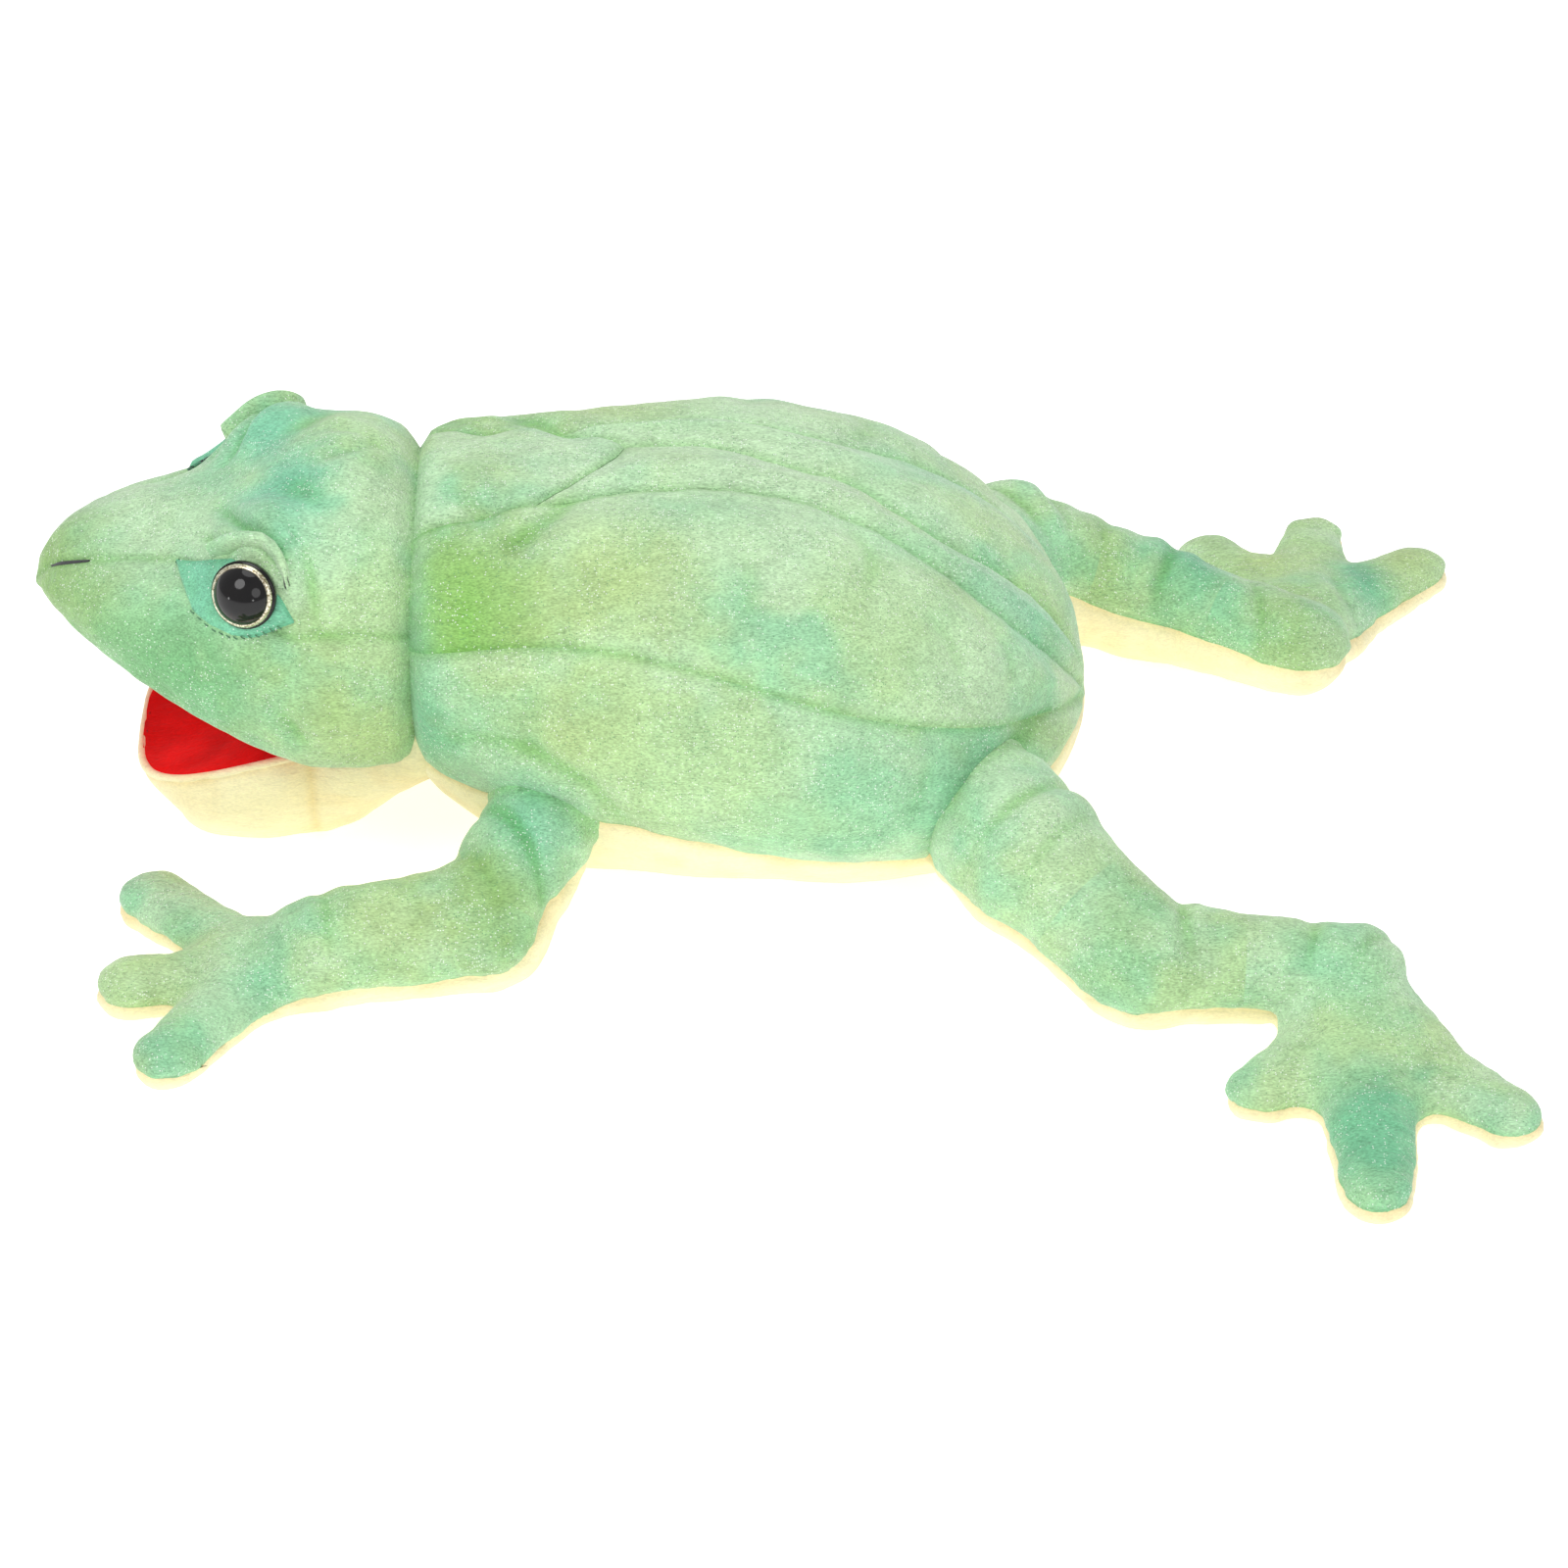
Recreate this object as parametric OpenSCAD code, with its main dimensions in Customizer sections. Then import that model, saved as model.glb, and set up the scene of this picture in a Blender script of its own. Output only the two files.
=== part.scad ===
// Plush frog hand puppet, lying on its belly.
// The frog faces -Y, its left side is +X, and the belly rests on the plane z = 0.

/* [Body] */
// Breadth of the body at its widest
body_w = 168; // [162:2:172]
// Height of the back above the floor
body_h = 119; // [117:1:121]
// Breadth of the neck
neck_w = 108; // [106:1:110]
// Height of the neck from throat to nape
neck_h = 91; // [89:1:92]

/* [Head] */
// Length of the head from the neck joint to the nose
head_l = 110; // [108:1:112]
// Breadth of the head across the cheeks
head_w = 112; // [110:1:114]
// Height of the crown above the floor
crown_h = 125; // [123:1:126]
// Height of each eye bump above the head's own curve
eye_bump = 9; // [6:0.5:10]
// Diameter of the domed eye
eye_d = 15; // [13:0.5:16]
// Diameter of the glitter ring round the eye
ring_d = 18.5; // [17:0.5:19]

/* [Limbs] */
// Radius of the arms
arm_r = 16; // [14:0.5:16]
// Radius of the thighs
thigh_r = 19; // [16:0.5:19]
// Radius of the shins
shin_r = 16; // [14:0.5:16]
// Radius of a fingertip
finger_r = 10; // [8:0.5:10]
// Radius of a toe tip
toe_r = 11; // [9:0.5:11]
// Thickness of a hand or foot
paw_t = 17; // [15:0.5:18]

/* [Fabric] */
// Thickness of the pile fabric
fabric_t = 2.4; // [2:0.2:2.6]
// Clear gap between a fabric piece and the filling behind it
clear_t = 0.5; // [0.4:0.1:0.6]

/* [Hand space] */
// Breadth of the hand entry under the belly
entry_w = 70; // [68:1:72]
// Length of the hand entry under the belly
entry_l = 56; // [54:1:58]
// Breadth of the sleeve that the hand goes through
tunnel_w = 70; // [68:1:71]
// Height of the finger pocket in the head
pocket_h = 17; // [15:1:18]

/* [Hidden] */
$fn = 36;
SIDES = ["left", "right"];

light_green = [0.62, 0.84, 0.60];
mint = [0.50, 0.83, 0.68];
leaf_green = [0.55, 0.80, 0.50];
cream = [0.98, 0.94, 0.74];
red = [0.80, 0.10, 0.10];

// Stations along the body
neck_y = -98;
rump_y = 97;
wide_y = 12;
back_y = -15;
nose_y = neck_y - head_l;
rump_z = 38;
neck_z = 118 - neck_h / 2;
// The body and the head draw back from the neck joint by this much at the top and bottom
neck_gap = 0.9;
neck_wedge = 4.6;
// The floor cuts the round belly off this far above its lowest point
belly_flat = 3;
// Panels stop this far short of a seam, in degrees round the body
seam_a = 0.35;
// Step for finding a surface's slope
slope_step = 0.004;
tip_u = 0.985;

function above(t) = max(t, 0);
function smooth(t) = let (s = min(1, above(t))) s * s * (3 - 2 * s);
function mix(a, b, t) = a + (b - a) * t;
function unit(v) = v / norm(v);

// ---- Body surface: u runs from the neck to the rump, a is the angle from the top ----

function body_half_w(y) = y > wide_y
    ? body_w / 2 * sqrt(above(1 - pow((y - wide_y) / (rump_y - wide_y), 2)))
    : mix(body_w, neck_w, pow((wide_y - y) / (wide_y - neck_y), 1.8)) / 2;

function body_top(y) = y > back_y
    ? rump_z + (body_h - rump_z) * sqrt(above(1 - pow((y - back_y) / (rump_y - back_y), 2)))
    : body_h - pow((back_y - y) / 83, 2);

belly_front_y = -52;
belly_rear_y = 55;
function body_bottom(y) = y < belly_front_y
    ? mix(-belly_flat, neck_z - neck_h / 2, pow(min(1, (belly_front_y - y) / 46), 1.6))
    : y > belly_rear_y
    ? mix(-belly_flat, rump_z, pow((y - belly_rear_y) / (rump_y - belly_rear_y), 2))
    : -belly_flat;

function body_y(u) = mix(neck_y + neck_gap, rump_y, 1 - pow(1 - u, 1.9));

function body_pt(u, a) =
    let (
        y = body_y(u),
        top = body_top(y),
        bottom = body_bottom(y),
        middle = (top + bottom) / 2 + 1
    )
    [
        body_half_w(y) * sin(a),
        y + neck_wedge * abs(cos(a)) * pow(1 - u, 6),
        above(cos(a) > 0 ? mix(middle, top, cos(a)) : mix(middle, bottom, -cos(a)))
    ];

// Seams of the body, as angles from the top at station y
function strip_seam(y) = 9 + 20 * pow((y + 12) / 84, 2);
function flank_seam(y) = 52 + 16 * pow(above(-50 - y) / 46, 2) + 10 * smooth((y + 50) / 100);
belly_seam = 128;

// ---- Head surface: u runs from the neck to the nose ----

jaw_y = -127;
jaw_z = 45;
lip_angle = 112;
cheek_y = -120;
crown_y = -116;
snout_z = 103;
nose_z = 79;
head_tip_y = nose_y;
bump_y = -142;
bump_a = 36;

function head_y(u) = mix(neck_y - neck_gap, head_tip_y, 1 - pow(1 - u, 1.7));

function head_half_w(y) = y > cheek_y
    ? mix(head_w, neck_w, smooth((y - cheek_y) / 24)) / 2
    : head_w / 2 * pow(above(1 - pow((cheek_y - y) / (cheek_y - head_tip_y), 1.7)), 0.65);

function head_top(y) =
    let (line = snout_z + (crown_h - snout_z) * exp(-pow((y - crown_y) / 34, 2)))
    nose_z + (line - nose_z) * pow(above(1 - pow(above(-170 - y) / (-170 - head_tip_y), 3)), 0.6);

function lip_z(y) = jaw_z + 1 + (nose_z - jaw_z - 1)
    * pow(above(jaw_y - y) / (jaw_y - head_tip_y), 1.15);

function head_pt(u, a) =
    let (
        y = head_y(u),
        top = head_top(y),
        lip = lip_z(y),
        middle = mix(lip, top, 0.32),
        drop = abs(cos(a) / cos(lip_angle)),
        bump = eye_bump * exp(-pow((abs(a) - bump_a) / 18, 2) - pow((y - bump_y) / 14, 2))
    )
    [
        (head_half_w(y) + bump) * sin(a),
        y - neck_wedge * abs(cos(a)) * pow(1 - u, 6),
        (abs(a) < 90 ? mix(middle, top, cos(a)) : mix(middle, lip, drop)) + bump * cos(a)
    ];

function cheek_seam(y) = 66 - 34 * smooth((-128 - y) / 40) + 10 * smooth((-170 - y) / 35);

// ---- Chin surface: u runs from the jaw hinge to the lower lip ----

chin_l = 52;
chin_half_w = 38;
lower_lip_z = 28;
chin_floor = 1;
// Space between the chin and the hinge line, the chin's depth below its floor, and how far its
// underside leans in at the hinge and at the tip
jaw_gap = 1.2;
chin_sag = 6;
chin_lean = 12;
chin_tip_lean = 6;

function chin_pt(u, a) =
    let (
        y = jaw_y - jaw_gap - chin_l * (1 - pow(1 - u, 1.6)),
        half = chin_half_w * pow(above(1 - pow(u, 3)), 0.5),
        lip = mix(jaw_z - 2, lower_lip_z, u),
        depth = (lip - chin_floor + chin_sag) * pow(above(1 - pow(u, 3)), 0.6),
        under = above(-cos(a))
    )
    [
        half * sin(a),
        y + under * (chin_tip_lean * pow(u, 2) - chin_lean * pow(1 - u, 2)),
        max(chin_floor, lip + depth * cos(a))
    ];

// ---- Sheets and lofts over a surface ----

// True where u runs towards the nose, so that a sheet faces the other way round
function runs_forward(skin) = skin(0.6, 1)[1] < skin(0.4, 1)[1];

function wound(faces, keep) = keep ? faces : [for (f = faces) [f[2], f[1], f[0]]];

function normal_at(skin, u, a) =
    let (
        du = skin(u + slope_step, a) - skin(u - slope_step, a),
        da = skin(u, a + slope_step * 90) - skin(u, a - slope_step * 90)
    )
    unit(cross(da, du)) * (runs_forward(skin) ? -1 : 1);

function inset_pt(skin, u, a, depth) = skin(u, a) - depth * normal_at(skin, u, a);

// A thick sheet between the angles low(u) and high(u), from depth_a to depth_b under the surface
module sheet(skin, low, high, u0, u1, rows, cols, depth_a = 0, depth_b = fabric_t) {
    grid = [for (depth = [depth_a, depth_b], i = [0:rows], j = [0:cols])
        let (u = mix(u0, u1, i / rows))
        inset_pt(skin, u, mix(low(u), high(u), j / cols), depth)];
    across = cols + 1;
    layer = (rows + 1) * across;
    rim = concat(
        [for (j = [0:cols]) j],
        [for (i = [1:rows]) i * across + cols],
        [for (j = [1:cols]) rows * across + cols - j],
        [for (i = [1:rows - 1]) (rows - i) * across]);
    cells = [for (i = [0:rows - 1], j = [0:cols - 1]) i * across + j];
    polyhedron(grid, wound(concat(
        [for (c = cells) [c, c + 1, c + across]],
        [for (c = cells) [c + 1, c + across + 1, c + across]],
        [for (c = cells) [layer + c, layer + c + across, layer + c + 1]],
        [for (c = cells) [layer + c + 1, layer + c + across, layer + c + across + 1]],
        [for (k = [0:len(rim) - 1]) let (p = rim[k], q = rim[(k + 1) % len(rim)])
            [p, layer + p, q]],
        [for (k = [0:len(rim) - 1]) let (p = rim[k], q = rim[(k + 1) % len(rim)])
            [q, layer + p, layer + q]]), runs_forward(skin)));
}

// A closed solid inside a surface that goes all the way round
module core(skin, u0, u1, rows, cols, depth) {
    rings = [for (i = [0:rows], j = [0:cols - 1])
        inset_pt(skin, mix(u0, u1, i / rows), 360 * j / cols - 180, depth)];
    first = [for (j = [0:cols - 1]) rings[j]];
    last = [for (j = [0:cols - 1]) rings[rows * cols + j]];
    ones = [for (p = first) 1];
    points = concat(rings, [ones * first / cols, ones * last / cols]);
    polyhedron(points, wound(concat(
        [for (i = [0:rows - 1], j = [0:cols - 1]) let (k = (j + 1) % cols)
            [i * cols + j, i * cols + k, (i + 1) * cols + j]],
        [for (i = [0:rows - 1], j = [0:cols - 1]) let (k = (j + 1) % cols)
            [i * cols + k, (i + 1) * cols + k, (i + 1) * cols + j]],
        [for (j = [0:cols - 1]) [len(rings), (j + 1) % cols, j]],
        [for (j = [0:cols - 1])
            [len(rings) + 1, rows * cols + j, rows * cols + (j + 1) % cols]]),
        runs_forward(skin)));
}

body_surface = function (u, a) body_pt(u, a);
head_surface = function (u, a) head_pt(u, a);
chin_surface = function (u, a) chin_pt(u, a);

module on_side(side) {
    mirror([side == "right" ? 1 : 0, 0, 0]) children();
}

module both_sides() {
    children();
    mirror([1, 0, 0]) children();
}

// A stadium outline, w across X and l along Y
module stadium(w, l) {
    square([w - l, l], center = true);
    for (end = [-1, 1]) translate([end * (w - l) / 2, 0]) circle(d = l, $fn = 64);
}

// ---- Body ----

yoke_u = 0.17;
yoke_split = 0.004;
inside_t = fabric_t + clear_t;

module neck_yoke() {
    color(light_green) sheet(body_surface,
        function (u) seam_a - strip_seam(body_y(u)),
        function (u) strip_seam(body_y(u)) - seam_a,
        0, yoke_u - yoke_split, 4, 10);
}

module back_strip(side) {
    color(light_green) on_side(side) sheet(body_surface,
        function (u) seam_a,
        function (u) strip_seam(body_y(u)) - seam_a,
        yoke_u, tip_u, 16, 3);
}

module hump_panel(side) {
    color(leaf_green) on_side(side) sheet(body_surface,
        function (u) strip_seam(body_y(u)) + seam_a,
        function (u) flank_seam(body_y(u)) - seam_a,
        0, tip_u, 18, 6);
}

module flank_panel(side) {
    color(mint) on_side(side) sheet(body_surface,
        function (u) flank_seam(body_y(u)) + seam_a,
        function (u) belly_seam - seam_a,
        0, tip_u, 18, 7);
}

entry_y = 34;
hem_t = 3;
hem_h = 9.3;

module belly_panel() {
    color(cream) difference() {
        sheet(body_surface,
            function (u) belly_seam + seam_a,
            function (u) 360 - belly_seam - seam_a,
            0, tip_u, 18, 11);
        translate([0, entry_y, -1]) linear_extrude(20)
            stadium(entry_w + 2 * hem_t + 1, entry_l + 2 * hem_t + 1);
    }
}

module opening_hem() {
    color(cream) translate([0, entry_y, 0]) linear_extrude(hem_h) difference() {
        stadium(entry_w + 2 * hem_t, entry_l + 2 * hem_t);
        stadium(entry_w, entry_l);
    }
}

// The sleeve is sewn from flat pieces: a wide bag over the entry and a tunnel towards the neck.
// Each piece stops sew_gap short of the next.
sleeve_t = 1.2;
sew_gap = 0.2;
tunnel_floor = 11;
tunnel_roof = 80;
tunnel_rear_y = 64;
step_y = -44;
throat_floor = 40;
neck_tunnel_w = 66;
sleeve_front_y = neck_y + 4;

module plate(low, high) {
    translate(low) cube(high - low);
}

module hand_sleeve() {
    half = tunnel_w / 2;
    neck_half = neck_tunnel_w / 2;
    color(cream) {
        both_sides() {
            plate([half, step_y, tunnel_floor], [half + sleeve_t, tunnel_rear_y, tunnel_roof]);
            plate([neck_half, sleeve_front_y, throat_floor],
                [neck_half + sleeve_t, step_y - sleeve_t, tunnel_roof]);
        }
        plate([-half - sleeve_t, sleeve_front_y, tunnel_roof + sew_gap],
            [half + sleeve_t, tunnel_rear_y, tunnel_roof + sleeve_t]);
        plate([-half - sleeve_t, tunnel_rear_y + sew_gap, tunnel_floor],
            [half + sleeve_t, tunnel_rear_y + sleeve_t, tunnel_roof]);
        plate([-half, step_y - sleeve_t, tunnel_floor],
            [half, step_y - sew_gap, throat_floor - sleeve_t - sew_gap]);
        plate([-half, step_y, tunnel_floor - sleeve_t],
            [half, entry_y - entry_l / 2, tunnel_floor - sew_gap]);
        plate([-neck_half, sleeve_front_y, throat_floor - sleeve_t],
            [neck_half, step_y, throat_floor - sew_gap]);
    }
}

module body_core() {
    core(body_surface, 0.02, tip_u, 16, 24, inside_t);
}

filling_in = sleeve_t + clear_t;
filling_x = tunnel_w / 2 + filling_in;

module back_filling() {
    color("white") intersection() {
        body_core();
        translate([-100, sleeve_front_y, tunnel_roof + filling_in]) cube([200, 200, 100]);
    }
}

module side_fillings() {
    color("white") both_sides() intersection() {
        body_core();
        translate([filling_x, sleeve_front_y, hem_h + clear_t])
            cube([100, tunnel_rear_y - sleeve_front_y + filling_in,
                tunnel_roof + filling_in - hem_h - 2 * clear_t]);
    }
}

module rump_filling() {
    color("white") intersection() {
        body_core();
        translate([-100, tunnel_rear_y + filling_in + clear_t, 11])
            cube([200, 100, tunnel_roof + filling_in - 11.5]);
    }
}

// ---- Head ----

eye_u = 0.262;
eye_a = 50;
eye_pt = head_pt(eye_u, eye_a);
eye_n = normal_at(head_surface, eye_u, eye_a);
stem_r = 2.4;

// Puts children at the eye, with +Z pointing out of the head
module at_eyes() {
    both_sides()
        translate(eye_pt)
            rotate([0, acos(eye_n[2]), atan2(eye_n[1], eye_n[0])])
                children();
}

module stem_holes() {
    at_eyes() cylinder(r = stem_r + 0.3, h = 40, center = true);
}

module crown_panel() {
    color(light_green) difference() {
        sheet(head_surface,
            function (u) seam_a - cheek_seam(head_y(u)),
            function (u) cheek_seam(head_y(u)) - seam_a,
            0, tip_u, 18, 16);
        stem_holes();
    }
}

module cheek_panel(side) {
    color(mint) difference() {
        on_side(side) sheet(head_surface,
            function (u) cheek_seam(head_y(u)) + seam_a,
            function (u) lip_angle,
            0, tip_u, 18, 6);
        stem_holes();
    }
}

patch_lift = 1.9;
module eye_patches() {
    color(mint) difference() {
        both_sides() sheet(head_surface,
            function (u) 52 - 17 * sin(180 * (u - 0.17) / 0.19),
            function (u) 53 + 18 * sin(180 * (u - 0.17) / 0.19),
            0.176, 0.354, 8, 4, -patch_lift, -0.3);
        stem_holes();
    }
}

module eyes() {
    color("black") at_eyes() {
        translate([0, 0, patch_lift + 2.1]) intersection() {
            translate([0, 0, -2.6]) sphere(d = eye_d + 1, $fn = 48);
            cylinder(d = eye_d, h = 9);
        }
        translate([0, 0, -9]) cylinder(r = stem_r, h = patch_lift + 11.1);
    }
}

module eye_rings() {
    color("gold") at_eyes() translate([0, 0, patch_lift + 0.3]) difference() {
        cylinder(d = ring_d, h = 1.6);
        translate([0, 0, -1]) cylinder(r = stem_r + 0.3, h = 4);
    }
}

module eye_washers() {
    color("ivory") at_eyes() translate([0, 0, -7.4]) difference() {
        cylinder(d = 13, h = 1.6);
        translate([0, 0, -1]) cylinder(r = stem_r + 0.05, h = 4);
    }
}

module brow_folds() {
    color(leaf_green) at_eyes() rotate([0, 0, 60]) translate([0, 0, patch_lift + 3.6])
        rotate_extrude(angle = 170) translate([12.6, 0]) circle(r = 2.6);
}

nostril_a = 42;
nostril_d = 0.9;
nostril_lift = 1.3;
module nostril_stitches() {
    color("black") both_sides() {
        from = inset_pt(head_surface, 0.80, nostril_a, -nostril_lift);
        to = inset_pt(head_surface, 0.66, nostril_a, -nostril_lift);
        run = to - from;
        translate(from) rotate([0, acos(run[2] / norm(run)), atan2(run[1], run[0])])
            cylinder(d = nostril_d, h = norm(run));
    }
}

// Red lining under the roof of the mouth, and the cream throat behind it
palate_u = 0.175;
palate_in = 1.4;
palate_lift = 1.7;
palate_arch = 1.2;
throat_z = neck_z - neck_h / 2 + 2;
throat_r = 44;
throat_half_w = 50;
throat_open_w = 64;
throat_gap = 3;
module palate_lining() {
    color(red) sheet(
        function (u, a)
            let (y = head_y(u), half = head_half_w(y) * sin(lip_angle) - inside_t - palate_in)
            [a * half, y, lip_z(y) + palate_lift + palate_arch * (1 - a * a)],
        function (u) -1, function (u) 1, palate_u, 0.84, 14, 8, -1, 1);
}

module throat_panel() {
    color(cream) translate([0, neck_y - neck_gap - neck_wedge, 0]) rotate([90, 0, 0])
        linear_extrude(neck_y - jaw_y - neck_gap - neck_wedge - throat_gap) difference() {
            intersection() {
                translate([0, jaw_z]) circle(r = throat_r, $fn = 72);
                translate([-throat_half_w, throat_z]) square([2 * throat_half_w, jaw_z - throat_z]);
            }
            translate([-throat_open_w / 2, throat_z + fabric_t]) square([throat_open_w, 100]);
        }
}

pocket_w = 66;
pocket_floor = 66;
pocket_front_y = -165;
pocket_wall = 1.2;
module pocket_space(grow) {
    translate([-pocket_w / 2 - grow, pocket_front_y - grow, pocket_floor - grow])
        cube([pocket_w + 2 * grow, neck_y - neck_gap - neck_wedge - pocket_front_y + grow,
            pocket_h + 2 * grow]);
}

// The pocket narrows to its tip ahead of the shoulder line
pocket_shoulder_y = -150;
pocket_tip_w = 46;
module pocket_plan(wall) {
    translate([-pocket_w / 2 - pocket_wall + wall, pocket_shoulder_y + wall, 0])
        cube([pocket_w + 2 * (pocket_wall - wall), 60, 200]);
    translate([-pocket_tip_w / 2 + wall, -200, 0]) cube([pocket_tip_w - 2 * wall, 60, 200]);
}

module finger_pocket() {
    color(cream) difference() {
        intersection() {
            pocket_space(pocket_wall);
            pocket_plan(0);
        }
        intersection() {
            translate([0, 1, 0]) pocket_space(0);
            pocket_plan(pocket_wall);
        }
    }
}

crown_slack = 1.4;
module crown_filling() {
    color("white") difference() {
        intersection() {
            core(function (u, a) head_pt(u, a * lip_angle / 180), 0.03, 0.9, 14, 24,
                inside_t + crown_slack);
            translate([-100, -200, pocket_floor + pocket_h + pocket_wall + clear_t])
                cube([200, 200, 100]);
        }
        at_eyes() translate([0, 0, -9.5]) cylinder(d = 14, h = 30);
    }
}

// ---- Lower jaw ----

module chin_panel() {
    color(cream) sheet(chin_surface,
        function (u) 90, function (u) 270, 0, 0.97, 12, 14);
}

// The lining lies lining_drop under the lip and stays lining_in clear of the chin's sides, and
// tip_in further clear where they close at the tip
lining_t = 1.4;
lining_drop = 0.6;
lining_in = 2.2;
tip_in = 4;
module jaw_lining() {
    color(red) sheet(
        function (u, a) let (p = chin_pt(u, 90))
            [a * (p[0] - fabric_t - lining_in - tip_in * pow(u, 3)), p[1], p[2] - lining_drop],
        function (u) -1, function (u) 1, 0.03, 0.84, 10, 6, 0, lining_t);
}

thumb_w = 34;
thumb_y = jaw_y - 3;
thumb_l = 30;
thumb_floor = 10;
thumb_top = 31;
module thumb_pocket() {
    color(cream) difference() {
        translate([-thumb_w / 2 - pocket_wall, thumb_y - thumb_l, thumb_floor - pocket_wall])
            cube([thumb_w + 2 * pocket_wall, thumb_l, thumb_top - thumb_floor + 2 * pocket_wall]);
        translate([-thumb_w / 2, thumb_y - thumb_l + pocket_wall, thumb_floor])
            cube([thumb_w, thumb_l, thumb_top - thumb_floor]);
    }
}

// Share of the chin's half turn that its filling takes up, so it stays under the lining
chin_fill = 0.43;
module chin_filling() {
    color("white") both_sides() intersection() {
        core(function (u, a) chin_pt(u, 180 + a * chin_fill), 0.03, 0.84, 10, 18, inside_t + 0.4);
        translate([thumb_w / 2 + pocket_wall + clear_t, -200, 0]) cube([60, 200, 60]);
    }
}

// ---- Limbs ----

// Every limb segment ends in a ball centred on the next joint, which the segment after it
// wraps with a shallow cup, so the joint keeps one clearance as it turns.
shoulder = [80, -62, 34];
elbow = [88, -76, 18];
wrist = [96, -121, 16];
palm = [97, -136];
fingers = [[62, -173], [104, -176], [137, -163]];
hips = [[80, 77, 36], [80, 77, 36]];
knees = [[107, 108, 19], [80, 121, 19]];
ankles = [[112, 164, 18], [56, 163, 18]];
heels = [[132, 165], [81, 166]];
toe_tips = [[[155, 141], [195, 166], [163, 201]], [[119, 146], [128, 173], [112, 202]]];
paw_floor = 1;
joint_clear = 0.5;
cup_angle = 24;
ball_steps = 6;
cup_steps = 3;
wrist_r = 13;
ankle_r = 13;
palm_r = 14;
heel_r = 14;
ankle_turn = 15;

module along(from, to) {
    run = to - from;
    translate(from)
        rotate([0, -asin(run[2] / norm(run)), atan2(run[1], run[0])])
            children();
}

// Half-section of a segment of this length between joints, as [radius, place along it].
// r0 and r1 are its radii, and a cup of radius cup_r replaces the first ball.
function seg_profile(length, r0, r1, cup_r, inset) = concat(
    cup_r == 0
        ? [for (k = [0:ball_steps]) let (t = 90 * k / ball_steps)
            [(r0 - inset) * sin(t), -(r0 - inset) * cos(t)]]
        : concat(
            [for (k = [0:cup_steps]) let (t = cup_angle * k / cup_steps)
                [(cup_r + inset) * sin(t), (cup_r + inset) * cos(t)]],
            [[r0 - inset - 3, cup_r * cos(cup_angle) + inset],
             [r0 - inset, cup_r * cos(cup_angle) + inset + 4]]),
    [for (k = [0:ball_steps]) let (t = 90 * k / ball_steps)
        [(r1 - inset) * cos(t), length + (r1 - inset) * sin(t)]]);

// Half of a segment's skin: half is 0 for the top and 180 for the underside
module seg_skin(from, to, r0, r1, cup_r, half) {
    outer = seg_profile(norm(to - from), r0, r1, cup_r, 0);
    inner = seg_profile(norm(to - from), r0, r1, cup_r, fabric_t);
    last = len(inner) - 1;
    along(from, to) rotate([0, 90, 0]) rotate([0, 0, 90.6 + half])
        rotate_extrude(angle = 178.8)
            polygon(concat(outer, [for (k = [0:last]) inner[last - k]]));
}

module seg_filling(from, to, r0, r1, cup_r) {
    along(from, to) rotate([0, 90, 0]) rotate_extrude()
        polygon(seg_profile(norm(to - from), r0, r1, cup_r, inside_t));
}

// Flat hand or foot: a root with digits that run out to their tips
module paw_slab(root, root_r, tips, tip_r, inset, height) {
    translate(root) cylinder(r = root_r - inset, h = height);
    for (tip = tips) {
        ahead = unit(tip - root);
        side = [-ahead[1], ahead[0]];
        base_r = tip_r * 1.12 - inset;
        end_r = tip_r - inset;
        end = tip + 0.3 * end_r * ahead;
        linear_extrude(height)
            polygon([root + base_r * side, end + 0.92 * end_r * side,
                end - 0.92 * end_r * side, root - base_r * side]);
        translate(tip) cylinder(r = end_r, h = height);
    }
}

// Room that a limb needs where it runs into its paw, turned both ways at their joint
module limb_room(from, to, r, turn) {
    run = to - from;
    translate([to[0], to[1]]) {
        circle(r = r + joint_clear);
        for (swing = [-turn, 0, turn])
            rotate(swing + atan2(run[1], run[0]) + 180)
                translate([0, -r - 1.5]) square([40, 2 * r + 3]);
    }
}

module paw_skin(root, root_r, tips, tip_r, top) {
    half_t = paw_t / 2 - 0.1;
    translate([0, 0, paw_floor + (top ? paw_t / 2 + 0.1 : 0)]) difference() {
        paw_slab(root, root_r, tips, tip_r, 0, half_t);
        translate([0, 0, top ? -1 : fabric_t])
            paw_slab(root, root_r, tips, tip_r, fabric_t, half_t - fabric_t + 1);
    }
}

module paw_filling(root, root_r, tips, tip_r) {
    translate([0, 0, paw_floor + inside_t])
        paw_slab(root, root_r, tips, tip_r, inside_t, paw_t - 2 * inside_t);
}

module paw_room(from, to, r, turn) {
    translate([0, 0, -1]) linear_extrude(60) limb_room(from, to, r, turn);
}

module upper_arm_skin(side, half) {
    on_side(side) seg_skin(shoulder, elbow, arm_r - 1, arm_r - 1, 0, half);
}

module forearm_skin(side, half) {
    on_side(side) {
        seg_skin(elbow, wrist, arm_r, wrist_r, arm_r - 1 + joint_clear, half);
        difference() {
            paw_skin(palm, palm_r, fingers, finger_r, half == 0);
            paw_room(elbow, wrist, wrist_r, 0);
        }
    }
}

module forearm_filling(side) {
    color("white") on_side(side) {
        seg_filling(elbow, wrist, arm_r, wrist_r, arm_r - 1 + joint_clear);
        difference() {
            paw_filling(palm, palm_r, fingers, finger_r);
            paw_room(elbow, wrist, wrist_r + fabric_t, 0);
        }
    }
}

function leg(side) = side == "left" ? 0 : 1;

knee_r = thigh_r - 2;

module thigh_skin(side, half) {
    on_side(side) seg_skin(hips[leg(side)], knees[leg(side)], thigh_r - 1, knee_r, 0, half);
}

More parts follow.
